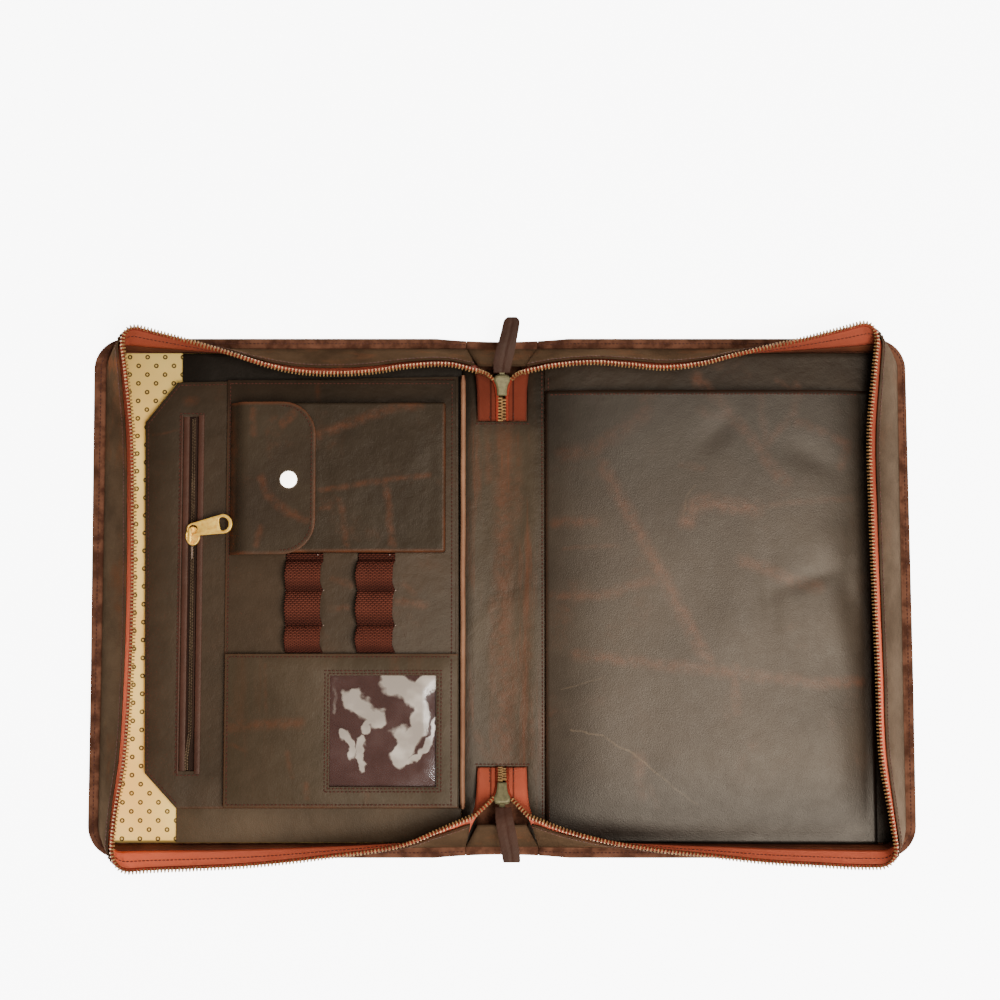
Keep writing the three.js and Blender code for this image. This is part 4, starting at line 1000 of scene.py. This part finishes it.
PULL_PATH = {
    # x, y past the slider, z, width as a share of PULL_W
    "top": ((-0.3, -2.2, 20.3, 0.98), (0.6, 4.8, 23.2, 1.14), (2.2, 12.3, 25.0, 1.16), (4.2, 20.2, 25.8, 1.08),
            (5.8, 27.8, 26.0, 1.04), (6.4, 31.8, 26.0, 0.94), (6.6, 34.0, 26.0, 0.55)),
    "bottom": ((0.8, -1.4, 20.6, 0.96), (1.4, 5.2, 23.0, 1.06), (2.6, 12.2, 24.0, 1.1), (4.2, 20.6, 24.6, 1.1),
               (5.6, 28.2, 25.0, 1.08), (6.1, 32.4, 25.0, 1.04), (6.2, 33.6, 25.0, 0.92)),
}


def leather_pull(name):
    """Folded strip of soft leather, slightly dished along its middle."""
    flip, centre, _ = ENDS[name]
    rows = [Vector((x, flip * (centre + 9.8 + y), z)) for x, y, z, w in PULL_PATH[name]]
    widths = [w for x, y, z, w in PULL_PATH[name]]

    def spot(line, share):
        k = min(share * (len(line) - 1), len(line) - 1.0001)
        a, b, c, d = around(line, int(k))
        return hermite(b, c, (c - a) / 2, (d - b) / 2, k - int(k))

    def place(u, v):
        k = 2 * u - 1
        crown = 0.25 * (1 - k * k) - 0.4 * math.exp(-(k / 0.16) ** 2) * (1 - v * 0.4)
        return spot(rows, v) + Vector((k * PULL_W / 2 * spot(widths, v), 0, PULL_T / 2 - 0.3 + crown))

    bm = bent_grid(16, 26, place)
    keep(bm, f"pull_leather_{name}", pull_leather, [f"{name}_pull"], thick=2.0, bevel=0.4,
         inward=wall_side(bm))


for end_name, wall_lean in (("top", -0.64), ("bottom", -0.72)):
    end_wall(end_name, wall_lean)
    main_slider(end_name)
    closed_chain(end_name)
    leather_pull(end_name)


# Linings and base panels

inside_x, inside_y, inside_r = BASE_HX - EDGE_CLEAR, BASE_HY - EDGE_CLEAR, BASE_R - EDGE_CLEAR


def ripple(x, y):
    return 0.12 * noise.noise(Vector((x, y, 3.0)) * 0.05)


cloth_points = rounded(-inside_x, SPINE_L - GAP, -inside_y, inside_y, ul=inside_r, ll=inside_r)
lining = keep(panel(cloth_points, Z_FOOT, 0.8, cell=12, edge=0.2, rise=ripple), "lining_left", dotted_cloth(),
              ["left_lining"])
base_points = rounded(CLOTH_EDGE, SPINE_L - GAP, 0.4 - inside_y, inside_y - 0.4)
keep(panel(base_points, Z_BASE, PANEL_T, cell=20), "base_left", base_leather, ["left_inner_panel"])
right_points = rounded(SPINE_R + GAP, inside_x, -inside_y, inside_y, ur=inside_r, lr=inside_r)
# Painted shade: this strip beside the right pocket, under the wall, is coloured very dark and darkens further at
# its right and lower edges.
right_base = leather("right_base_leather", rgb(39, 29, 20), rgb(27, 19, 12), RUST, marks=RIGHT_MARKS[5:10],
                     painted_shades=((0, 238.0, 246.0, 0.7), (1, -150.0, -160.0, 0.7)))
keep(panel(right_points, Z_FOOT, PANEL_T, cell=20), "base_right", right_base,
     ["right_inner_panel"])

spine_points = [
    (SPINE_L, -inside_y), (-NOTCH_W, -inside_y), (-NOTCH_W, NOTCH_LOW), (NOTCH_W, NOTCH_LOW), (NOTCH_W, -inside_y),
    (SPINE_R, -inside_y), (SPINE_R, inside_y), (NOTCH_W, inside_y), (NOTCH_W, NOTCH_TOP), (-NOTCH_W, NOTCH_TOP),
    (-NOTCH_W, inside_y), (SPINE_L, inside_y),
]
# Painted shade: the spine lining darkens at both ends by the notches and along both long edges.
spine_finish = leather("spine_leather", rgb(64, 52, 38), rgb(46, 36, 25), rgb(92, 50, 30), marks=SPINE_MARKS,
                       streaks=0.7, rough=0.42,
                       painted_shades=((1, 100.0, 125.0, 0.6), (1, -70.0, -112.0, 0.2), (1, -104.0, -128.0, 0.35),
                             (0, -16.0, -26.0, 0.5), (0, 19.0, 27.0, 0.35)))
keep(panel(spine_points, Z_FOOT, PANEL_T), "spine_lining", spine_finish, ["spine_lining"])


# Zipped pocket panel

panel_points = [
    (PANEL_LEFT + 21.25, PANEL_TOP - 4), (PANEL_LEFT, PANEL_TOP - 31), (PANEL_LEFT + 3, PANEL_LOW + 23),
    (PANEL_LEFT + 24, PANEL_LOW), (PANEL_RIGHT + 1.6, PANEL_LOW), (PANEL_RIGHT, PANEL_TOP),
]
slot = (SLOT_X - SLOT_W / 2, SLOT_X + SLOT_W / 2, SLOT_LOW, SLOT_TOP)
# Painted shade: the zipped panel darkens towards the top.
left_finish = leather("left_panel_leather", PANEL, PANEL_DEEP, RUST, marks=LEFT_MARKS, rim=0.35,
                      edge=(PANEL_LEFT - 30, PANEL_RIGHT + 30, PANEL_LOW, PANEL_TOP + 20),
                      painted_shades=((1, -20.0, 140.0, 0.25),))
keep(panel(panel_points, Z_PANEL, PANEL_T, hole=slot), "zip_pocket_panel", left_finish,
     ["left_pocket_panel"])
tape_points = rounded(SLOT_X - 10, SLOT_X + 10, SLOT_LOW - 5, SLOT_TOP + 5)
slot_cloth = panel(tape_points, Z_ZIP, TAPE_T, edge=0.2)
layer = slot_cloth.loops.layers.uv.verify()
for face in slot_cloth.faces:
    for loop in face.loops:
        loop[layer].uv = (loop.vert.co.y, loop.vert.co.x)
keep(slot_cloth, "pocket_zip_tape_cloth", pocket_tape, ["pocket_zip_tape"])


def slot_shift(y):
    """The coil and its tape draw to the left at the foot of the slot."""
    return -2.0 * min(max((-90.0 - y) / 16.0, 0.0), 1.0)


def pocket_coil():
    """Two rows of nylon turns, a turn in every millimetre."""
    rows = []
    y = SLOT_LOW + 1
    while y < SLOT_TOP - 1:
        x = SLOT_X + 1.4 + slot_shift(y)
        rows += [Matrix.Translation((x + side * 0.65, y + side * 0.2, Z_PANEL + 0.95)) for side in (-1, 1)]
        y += 1.0
    keep(copies(bead(1.3, 0.62, 1.0), rows), "pocket_coil_turns", coil_nylon, ["pocket_zip_coil"],
         recalc=False)


def slot_strip(name, middle, width, height, z, material, slot_name, low, high, bend=False):
    """Rounded strip that runs down the slot."""
    half = width / 2
    profile = [(-half, -0.3, 0), (-half, -0.15, 1), (-half * 0.8, 0.0, 1), (0, 0.12, 1), (half * 0.8, 0.0, 1),
               (half, -0.15, 1), (half, -0.3, 0)]

    def place(u, v):
        across, up, raised = profile[round(u * 6)]
        y = low + (high - low) * v
        shift = slot_shift(y) if bend else 0.0
        return Vector((SLOT_X + middle + across + shift, y, z + height * raised + up))

    keep(bent_grid(6, 40, place), name, material)


pocket_coil()
tape_z, edge_z = Z_ZIP + TAPE_T, Z_PANEL + PANEL_T - 0.12
tape_ends, edge_ends = (SLOT_LOW, SLOT_TOP), (SLOT_LOW - 2, SLOT_TOP + 1)
slot_strip("slot_tape_left", -3.5, 4.0, 0.9, tape_z, slot_edge_leather, "pocket_tape", *tape_ends)
slot_strip("slot_tape_right", 3.2, 1.3, 0.7, tape_z, pocket_tape, "pocket_tape", *tape_ends, bend=True)
slot_strip("slot_edge_right", 6.5, 3.9, 0.6, edge_z, slot_edge_leather, "panel_leather", *edge_ends)
slot_strip("slot_edge_left", -6.5, 1.4, 0.4, edge_z, slot_edge_leather, "panel_leather", *edge_ends)
# Painted highlight: a pale strip where the closed coil catches the light below the slider.
slot_strip("slot_painted_highlight", 1.3, 0.5, 0.3, Z_PANEL + 1.3, knot_and_highlight_nylon, "pocket_coil", SLIDER_Y - 15, SLIDER_Y - 7,
           bend=True)


# Slider of the pocket zip and its pull

BRIDGE_X, BRIDGE_Y, POST, BRIDGE_GAP, BAR_T, PLATE_T = 2.0, 8.8, 1.5, 3.5, 1.1, 1.2
BRIDGE_AT = (-1, 0.2)
PLATE_AT = Vector((SLOT_X + 1.8, SLIDER_Y, Z_PANEL + PANEL_T + GAP))


def pocket_slider():
    """Oval plate with a bridge over it that carries the pull."""
    bm = bmesh.new()
    disc = bmesh.ops.create_circle(bm, cap_ends=True, segments=28, radius=1.0)["verts"]
    bmesh.ops.scale(bm, vec=(5.0, 6.5, 1.0), verts=disc)
    bmesh.ops.scale(bm, vec=(0.9, 0.92, 1.0), verts=thicken(bm, bm.faces[:], PLATE_T))
    top_face = max(bm.faces, key=lambda f: f.calc_center_median().z)
    bmesh.ops.inset_individual(bm, faces=[top_face], thickness=0.7, depth=-0.3)
    x, middle = BRIDGE_AT
    add_box(bm, (BRIDGE_X, BRIDGE_Y, BAR_T), (x, middle, PLATE_T + BRIDGE_GAP + BAR_T / 2))
    for side in (-1, 1):
        y = middle + side * (BRIDGE_Y - POST) / 2
        add_box(bm, (BRIDGE_X, POST, BRIDGE_GAP + 0.8), (x, y, PLATE_T + BRIDGE_GAP / 2 - 0.2))
    bmesh.ops.translate(bm, verts=bm.verts[:], vec=PLATE_AT)
    keep(bm, "pocket_slider_plate", tag_metal, ["pocket_slider"], bevel=0.3)


TAG_T, TAG_L, NEAR_R, FAR_R, EYE_SHIFT = 1.2, 31.5, 4.3, 6.45, 1.6
FAR_X = TAG_L - NEAR_R - FAR_R + EYE_SHIFT


def pull_tag():
    """Flat brass tag with an eye at each end and a raised rim."""
    outside = arc(EYE_SHIFT, 0, NEAR_R, 96, 264, 14) + arc(FAR_X, 0, FAR_R, -84, 84, 18)
    near = [(EYE_SHIFT + 3.2 * math.cos(a), 3.1 * math.sin(a)) for a in [math.radians(18 * i) for i in range(20)]]
    far = [(FAR_X - 2.0, 3.4), (FAR_X - 2.35, 1.4), (FAR_X - 2.35, -1.4), (FAR_X - 2.0, -3.4), (FAR_X - 1.4, -4.2),
           *arc(FAR_X - 0.4, 0, 4.5, -88, 88, 12), (FAR_X - 1.4, 4.2)]
    bm = bmesh.new()
    loops = []
    for points in (outside, near, far):
        ring = [bm.verts.new((x, y, -TAG_T / 2)) for x, y in points]
        loops += [bm.edges.new((a, b)) for a, b in zip(ring, ring[1:] + ring[:1])]
    bmesh.ops.triangle_fill(bm, edges=loops, use_beauty=True, use_dissolve=True)
    thicken(bm, bm.faces[:], TAG_T, keep_below=True)
    bmesh.ops.recalc_face_normals(bm, faces=bm.faces[:])
    soften(bm, rim_edges(bm, 1.2, 0.1), 0.42, 3)
    turn = Matrix.Rotation(0.17, 4, "Z") @ Matrix.Rotation(-0.17, 4, "Y")
    x, middle = BRIDGE_AT
    at = PLATE_AT + Vector((x, middle + (BRIDGE_Y - POST) / 2, PLATE_T + BRIDGE_GAP / 2))
    bmesh.ops.transform(bm, matrix=Matrix.Translation(at) @ turn, verts=bm.verts[:])
    keep(bm, "pull_tag", tag_metal, ["zip_pull"], body="pull")


pocket_slider()
pull_tag()


# Second panel, flap pocket and flap

second_points = rounded(SECOND_LEFT, PANEL_RIGHT - 1.2, PANEL_LOW + 1.2, PANEL_TOP - 2.6)
# Painted shade: a dark band above the flap pocket, and darker towards the top.
second_finish = leather("second_panel_leather", PANEL, PANEL_DEEP, RUST, marks=SECOND_MARKS,
                        edge=(SECOND_LEFT, PANEL_RIGHT + 30, PANEL_LOW, PANEL_TOP + 20), rim=0.4,
                        painted_shades=((1, 116.0, 131.0, 0.4), (1, 30.0, 120.0, 0.15)))
keep(panel(second_points, Z_SECOND, PANEL_T), "second_panel_leather", second_finish,
     ["second_panel"])


def flap_pocket():
    """Boxed pocket, open at the flap: the leather rolls over its edges."""
    bm = bmesh.new()
    wide = POCKET_RIGHT - POCKET_LEFT
    add_box(bm, (wide, POCKET_TOP - POCKET_LOW, POCKET_H),
            ((POCKET_RIGHT + POCKET_LEFT) / 2, (POCKET_TOP + POCKET_LOW) / 2, Z_TOP + POCKET_H / 2))
    bottom = [f for f in bm.faces if f.normal.z < -0.5 or f.normal.x < -0.5]
    bmesh.ops.delete(bm, geom=bottom, context="FACES_ONLY")
    soften(bm, [e for e in bm.edges if len(e.link_faces) == 2], 2.0, 5)
    cut_grid(bm, 0, [POCKET_LEFT + 6 * k for k in range(1, 22)])
    cut_grid(bm, 1, [POCKET_LOW + 6 * k for k in range(1, 16)])
    for v in bm.verts:
        fall = (POCKET_H - MOUTH_H) * (1 - (v.co.x - POCKET_LEFT) / wide)
        v.co.z -= fall * (v.co.z - Z_TOP) / POCKET_H
        high = max((v.co.z - Z_TOP) / POCKET_H, 0)
        inward = min(POCKET_RIGHT - v.co.x, v.co.y - POCKET_LOW, POCKET_TOP - v.co.y)
        v.co.z += high * (0.5 * noise.noise(v.co * 0.03) - 0.5 * math.exp(-((inward - 9) / 6) ** 2))
    keep(bm, "flap_pocket_box", pocket_finish, ["flap_pocket"], thick=1.3)


pocket_finish = leather("pocket_leather", rgb(46, 36, 25), rgb(36, 27, 18), rgb(98, 52, 30), marks=POCKET_MARKS,
                        edge=(POCKET_LEFT - 30, POCKET_RIGHT + 0.3, POCKET_LOW, POCKET_TOP + 4), rim=0.7,
                        rust_edge=3.0, rough=0.4)
flap_pocket()

# Distance from the flap's fold, and height there as a share of the pocket's mouth
FLAP_RISE = ((0.0, 0.0), (4.0, 0.45), (8.1, 1.01), (25.6, 1.05), (57.2, 1.15))


def flap_rise(x):
    away = min(max(x - FLAP_LEFT, 0.0), FLAP_RISE[-1][0])
    for (x0, r0), (x1, r1) in zip(FLAP_RISE, FLAP_RISE[1:]):
        if away <= x1:
            return (MOUTH_H + GAP) * (r0 + (r1 - r0) * (away - x0) / (x1 - x0))


def flap_shape(x, y):
    """Rise of the flap with the curl of its free edge and a soft unevenness."""
    curl = 0.5 * max(x - FLAP_RIGHT + 16, 0) / 16
    return flap_rise(x) + curl + 0.3 * noise.noise(Vector((x, y, 5)) * 0.035)


def flap():
    points = rounded(FLAP_LEFT, FLAP_RIGHT, FLAP_LOW, FLAP_TOP, ur=FLAP_R, lr=FLAP_R)
    bm = panel(points, Z_TOP, PANEL_T, cell=2.6, edge=0.4, rise=flap_shape)
    for _ in range(2):
        bmesh.ops.smooth_vert(bm, verts=bm.verts[:], factor=0.5, use_axis_z=True)
    keep(bm, "flap_leather", flap_finish, ["flap"])


flap_finish = leather("flap_leather", rgb(50, 39, 27), rgb(39, 29, 20), rgb(96, 50, 28), marks=FLAP_MARKS,
                      edge=(FLAP_LEFT - 40, FLAP_RIGHT + 0.3, FLAP_LOW, FLAP_TOP, FLAP_R), rim=0.55,
                      rust_edge=3.0)
flap()


def snap_cap():
    """Low dome with a short upright rim."""
    bm = bmesh.new()
    bmesh.ops.create_uvsphere(bm, u_segments=40, v_segments=20, radius=5.5)
    lower = [v for v in bm.verts if v.co.z < -0.01]
    bmesh.ops.delete(bm, geom=lower, context="VERTS")
    bmesh.ops.scale(bm, vec=(1, 1, 0.2), verts=bm.verts[:])
    rim = [e for e in bm.edges if len(e.link_faces) == 1]
    made = bmesh.ops.extrude_edge_only(bm, edges=rim)["geom"]
    bmesh.ops.translate(bm, verts=[g for g in made if isinstance(g, bmesh.types.BMVert)], vec=(0, 0, -0.6))
    bmesh.ops.holes_fill(bm, edges=bm.edges[:], sides=40)
    at = (SNAP[0], SNAP[1], Z_TOP + flap_rise(SNAP[0]) + PANEL_T + 0.85)
    bmesh.ops.translate(bm, verts=bm.verts[:], vec=at)
    keep(bm, "snap_dome", snap_metal, ["snap_cap"])


snap_cap()


# Elastic pen loops

def pen_loops(name, x, lean_left, lean_right):
    """One elastic: a flat start under the flap pocket, then three arches."""
    top, flat = POCKET_LOW - 0.2, 0.06

    def place(u, v):
        if v < flat:
            y, high = top + (VALLEYS[0] - top) * v / flat, 0.0
        else:
            k = min((v - flat) / (1 - flat) * 3, 2.9999)
            i = int(k)
            arch = math.sin(math.pi * (k - i))
            high = arch ** 0.6
            y = VALLEYS[i] + (VALLEYS[i + 1] - VALLEYS[i]) * (k - i) - 1.2 * high * arch
        lean = lean_left * (1 - u) + lean_right * u
        px = x + (u - 0.5) * LOOP_W - lean * high + 0.3 * math.sin(v * 40) * (u - 0.5)
        return Vector((px, y, Z_TOP + 0.6 + (LOOP_H - 1.4) * high + 0.3 * (u - 0.5) * high))

    bm = bent_grid(14, 100, place)
    scale_uv(bm, LOOP_W, LOOP_RUN)
    piece = keep(bm, f"elastic_{name}", elastic, [f"{name}_pen_loops"], thick=1.1, inward=0.0)
    left, right = x - LOOP_W / 2, x + LOOP_W / 2
    rows, knots = [], [(right - 3.5, top - 1, Z_TOP + 1.4)]
    for y in VALLEYS[1:3]:
        rows += seam([(left + 0.6, y), (right - 0.6, y)], Z_TOP + 1.3)
        knots += [(left - 0.4, y, Z_TOP + 0.4), (right + 0.4, y, Z_TOP + 0.4)]
    stitches(f"loop_seam_{name}", rows, dark_thread)
    ends = [Matrix.Translation(k) for k in knots]
    keep(copies(bead(0.9, 0.8, 0.5), ends), f"loop_knots_{name}", knot_and_highlight_nylon, recalc=False)


pen_loops("left", LOOP_X[0], 0.3, 1.2)
pen_loops("right", LOOP_X[1], 1.4, 1.3)


# Lower pocket with its window

lower_points = rounded(LOWER_LEFT, PANEL_RIGHT + 0.4, LOWER_LOW, LOWER_TOP)
lower_finish = leather("lower_pocket_leather", rgb(62, 49, 35), rgb(50, 39, 26), RUST, marks=LOWER_MARKS,
                       edge=(LOWER_LEFT, PANEL_RIGHT + 30, LOWER_LOW, LOWER_TOP), rim=0.4, streaks=0.15)
keep(panel(lower_points, Z_LOWER, PANEL_T, hole=WINDOW), "lower_pocket_leather", lower_finish,
     ["lower_pocket"])
backing_points = rounded(LOWER_LEFT + 2, PANEL_RIGHT - 2, LOWER_LOW + 2, LOWER_TOP - 2)
cloth = keep(panel(backing_points, Z_TOP, 0.8, cell=20, edge=0.2), "window_backing_cloth", backing,
             ["window_backing"])


def window_film():
    """Film under the window's frame, slack and wavy in the opening."""
    x0, x1, y0, y1 = (side + out for side, out in zip(WINDOW, (-3, 3, -3, 3)))

    def place(u, v):
        x, y = x0 + (x1 - x0) * u, y0 + (y1 - y0) * v
        border = min(u, 1 - u, v, 1 - v)
        free = min(max((border - 0.04) / 0.12, 0.0), 1.0)
        wave = noise.noise(Vector((x * 0.034, y * 0.034, 7.3)))
        return Vector((x, y, Z_FILM + 0.12 + free * (0.75 + 0.7 * wave)))

    keep(bent_grid(72, 76, place), "window_vinyl", clear_film(), ["window_film"])


window_film()


# Rolled binding down the right edge of the left side

def edge_roll():
    profile = [(2.2, 0.0), (2.9, 1.6), (2.9, 3.2), (2.8, 4.9), (2.3, 5.8), (1.3, 6.2), (0.3, 5.9), (-0.4, 5.0),
               (-0.4, 2.5), (-0.4, 0.0)]

    def place(u, v):
        x, z = profile[round(u * (len(profile) - 1))]
        y = PANEL_TOP - (PANEL_TOP - PANEL_LOW) * v
        sway = 0.25 * noise.noise(Vector((0, y * 0.03, 2)))
        return Vector((PANEL_RIGHT + 2.2 + x + sway * (z > 0.1), y, Z_PANEL + z + sway))

    bm = bent_grid(len(profile) - 1, 60, place)
    bmesh.ops.holes_fill(bm, edges=bm.edges[:], sides=0)
    keep(bm, "edge_binding", binding, ["edge_roll"])


edge_roll()


# Large pocket on the right

# Swellings and hollows of the soft leather: x, y, width x, width y, turn, height
FOLDS = (
    (213, 34, 13, 15, 0.2, 0.8), (205, 12, 26, 6, 0.35, -0.9), (232, 22, 6, 20, -0.1, -0.6),
    (176, 0, 7, 34, 0.05, -0.8), (150, -8, 11, 40, 0.0, 0.4), (222, -25, 10, 30, 0.3, 0.7),
    (232, -2, 7, 14, 0.5, -0.7), (142, 108, 16, 8, 0.8, -0.7), (205, 92, 20, 9, -0.5, -0.8),
    (60, 70, 14, 22, 0.4, -0.4), (90, -105, 24, 10, -0.6, -0.5), (216, -95, 14, 30, 0.1, 0.5),
)


def right_rise(x, y):
    u = (x - RIGHT_L) / (RIGHT_R - RIGHT_L)
    v = (y - RIGHT_LOW) / (RIGHT_TOP - RIGHT_LOW)
    sides = (min(1, 3.4 * max(u, 0)), min(1, 4.5 * max(1 - u, 0)), min(1, 4.0 * max(v, 0)))
    lift = math.prod(1 - (1 - s) ** 3 for s in sides)
    z = BULGE * lift
    for fx, fy, wx, wy, turn, high in FOLDS:
        dx, dy = x - fx, y - fy
        a = dx * math.cos(turn) + dy * math.sin(turn)
        b = dy * math.cos(turn) - dx * math.sin(turn)
        z += high * math.exp(-(a / wx) ** 2 - (b / wy) ** 2) * min(lift * 1.5, 1)
    return z + 0.5 * lift * noise.noise(Vector((x, y, 1)) * 0.02)


def on_right(x, y):
    return RIGHT_Z + right_rise(x, y) + 0.08


RIGHT_Z = Z_FOOT + PANEL_T + GAP + PANEL_T


def right_pocket():
    """Front of the pocket, which runs on under the wall at its right and lower edges."""
    under_x, under_y = 5.5, 4.6

    def place(u, v):
        x = RIGHT_L + (RIGHT_R + under_x - RIGHT_L) * u
        y = RIGHT_LOW - under_y + (RIGHT_TOP - RIGHT_LOW + under_y) * v
        return Vector((x, y, RIGHT_Z + right_rise(x, y)))

    bm = bent_grid(84, 116, place)
    keep(bm, "right_pocket_leather", right_finish, ["right_pocket_panel"], thick=1.3,
         inward=wall_side(bm))


# Painted shade: the right pocket darkens towards its top, its bottom and its right edge under the wall.
right_finish = leather("right_pocket_leather", rgb(53, 42, 31), rgb(40, 31, 22), rgb(90, 50, 30),
                       marks=RIGHT_MARKS, scratches=RIGHT_SCRATCHES,
                       edge=(RIGHT_L, RIGHT_R + 40, RIGHT_LOW - 40, RIGHT_TOP), rim=0.35, rough=0.43, shine=0.42,
                       wrinkle=0.1,
                       painted_shades=((1, 20.0, 130.0, 0.58), (1, -98.0, -150.0, 0.76), (0, 234.0, 245.0, 0.75),
                             (1, -153.0, -162.0, 0.6)))
right_pocket()


# Seams

def strip_seam(name):
    """Stitches along the sewn edge strip of a cover."""
    points = [s.base + s.out * (strip_reach(s.base.x) * 0.5) for s in stations(name, 60, 20, 60, 20, 60)]
    rows = seam([(p.x, p.y) for p in points], Z_FOOT + WALL_T + 0.12)
    stitches(f"strip_seam_{name}", rows, seam_thread)


def wall_seam(name):
    """Stitches that hold the tape: near the top of the wall outside, half-way up the tape inside."""
    line = even_stations(name, 700)
    for label, facing, high, deep in (("outside", -1, WALL_H - 1.8, -0.55),
                                      ("inside", 1, 19.6, WALL_T + TAPE_T + 0.55)):
        points = [s.spot(high, deep) for s in line]
        places = []
        for p, d in walk(points, STITCH_PITCH):
            i = min(range(0, len(line), 5), key=lambda k: (points[k] - p).length_squared)
            places.append(frame_at(p, d, line[i].through * facing))
        stitches(f"wall_seam_{label}_{name}", places, seam_thread)


for side_name in ("left", "right"):
    strip_seam(side_name)
    wall_seam(side_name)

HAIR = 0.1
on_panel, on_second, on_lower = (z + PANEL_T + HAIR for z in (Z_PANEL, Z_SECOND, Z_LOWER))
panel_x, second_x, lower_x, hem_x = PANEL_LEFT + 2, SECOND_LEFT + 2, LOWER_LEFT + 2, PANEL_RIGHT - 4
x0, x1, y0, y1 = WINDOW
left_rows = []
for height, corners in (
    (on_panel, ring_path(SLOT_X - 7.7, SLOT_X + 7.9, SLOT_LOW - 2.7, SLOT_TOP + 2.0)),
    (on_panel, [(hem_x + 1, PANEL_TOP - 2), (panel_x + 20.5, PANEL_TOP - 6), (panel_x, PANEL_TOP - 32),
                (panel_x + 3, PANEL_LOW + 24), (panel_x + 23, PANEL_LOW + 2)]),
    (on_second, [(second_x, PANEL_LOW + 3), (second_x, PANEL_TOP - 5)]),
    (on_second, [(second_x, PANEL_TOP - 5), (hem_x - 1, PANEL_TOP - 5)]),
    (on_second, [(hem_x, PANEL_TOP - 5), (hem_x, LOWER_TOP + 1)]),
    (on_lower, [(hem_x, LOWER_TOP - 3), (hem_x, LOWER_LOW + 2)]),
    (on_lower, [(lower_x, LOWER_LOW + 2), (lower_x, LOWER_TOP - 2)]),
    (on_lower, [(lower_x, LOWER_TOP - 2), (hem_x, LOWER_TOP - 2)]),
    (on_lower, [(lower_x, LOWER_LOW + 2), (hem_x, LOWER_LOW + 2)]),
    *[(on_lower, ring_path(x0 - out, x1 + out, y0 - out, y1 + out)) for out in (1.2, 3.2)],
):
    left_rows += seam(corners, height)
stitches("left_seams", left_rows, seam_thread)

inset = 2.8
flap_line = rounded(FLAP_LEFT + 3, FLAP_RIGHT - inset, FLAP_LOW + inset, FLAP_TOP - inset, ur=FLAP_R - inset,
                    lr=FLAP_R - inset)
flap_rows = seam(flap_line[-1:] + flap_line[:-1], lambda x, y: Z_TOP + PANEL_T + flap_shape(x, y) + 0.05)
stitches("flap_seam", flap_rows, rust_thread)

spine_rows = []
for corners in (
    [(-NOTCH_W - 1, NOTCH_TOP - 1.4), (NOTCH_W + 1, NOTCH_TOP - 1.4)],
    [(-NOTCH_W - 1, NOTCH_LOW + 1.4), (NOTCH_W + 1, NOTCH_LOW + 1.4)],
    [(SPINE_R - 1.6, 2 - inside_y), (SPINE_R - 1.6, inside_y - 2)],
):
    spine_rows += seam(corners, Z_FOOT + PANEL_T + HAIR)
stitches("spine_seams", spine_rows, seam_thread)

right_rows = seam([(RIGHT_L + 2, RIGHT_LOW + 2), (RIGHT_L + 2, RIGHT_TOP + 10)],
                  lambda x, y: on_right(x, y) if y < RIGHT_TOP - 1 else RIGHT_Z - 1.5)
mouth = [(RIGHT_L + 3 + (RIGHT_R - RIGHT_L - 6) * i / 60, RIGHT_TOP - 2.6) for i in range(61)]
right_rows += seam(mouth, on_right)
stitches("right_seams", right_rows, seam_thread)

tape_rows = []
for flip, slider_y, notch_y in ENDS.values():
    start_y, end_y = notch_y + 1.5, slider_y - 6
    for x in (-8.0, 7.6):
        line = [Vector((x, flip * (start_y + (end_y - start_y) * i / 8), 5.6 + 6.2 * i / 8)) for i in range(9)]
        tape_rows += [frame_at(p, d, Vector((0, -0.3 * flip, 1))) for p, d in walk(line, STITCH_PITCH)]
stitches("tape_end_seams", tape_rows, seam_thread)


# Floor, light and camera

def floor():
    bm = bmesh.new()
    bmesh.ops.create_grid(bm, x_segments=1, y_segments=1, size=6.0)
    bmesh.ops.translate(bm, verts=bm.verts[:], vec=(0, 0, -0.0004))
    mesh = bpy.data.meshes.new("floor")
    bm.to_mesh(mesh)
    bm.free()
    stage = put("floor", mesh)
    f = Finish("floor", Roughness=0.9, Emission_Strength=7.5, Emission_Color=(1.0, 1.0, 1.0, 1.0))
    f.feed(Base_Color=f.mix(f.noise(0.002), rgb(244, 244, 244), rgb(250, 250, 250)))
    mesh.materials.append(f.material)


def softbox(name, place, aim, width, height, power):
    data = bpy.data.lights.new(name, "AREA")
    data.shape, data.size, data.size_y = "RECTANGLE", width, height
    data.energy, data.color = power, (1.0, 0.98, 0.95)
    lamp = put(name, data)
    lamp.location = place
    lamp.rotation_euler = (Vector(place) - Vector(aim)).to_track_quat("Z", "Y").to_euler()


def studio():
    world = bpy.data.worlds.new("studio")
    bpy.context.scene.world = world
    world.use_nodes = True
    sky = world.node_tree.nodes["Background"]
    sky.inputs["Color"].default_value = (1.0, 1.0, 1.0, 1.0)
    sky.inputs["Strength"].default_value = 0.45
    softbox("main_light", (0.6, -0.75, 1.8), (0, 0, 0), 1.3, 1.0, 62)
    softbox("sheen_light", (0.47, -0.02, 1.9), (0.1, -0.02, 0), 0.5, 0.42, 16)


def camera():
    data = bpy.data.cameras.new("camera")
    data.lens, data.sensor_width = 67.5, 36.0
    view = put("camera", data)
    view.location = (-0.00133, -0.04317, 1.24543)
    view.rotation_euler = (math.radians(4.9), 0, 0)
    bpy.context.scene.camera = view


floor()
studio()
camera()
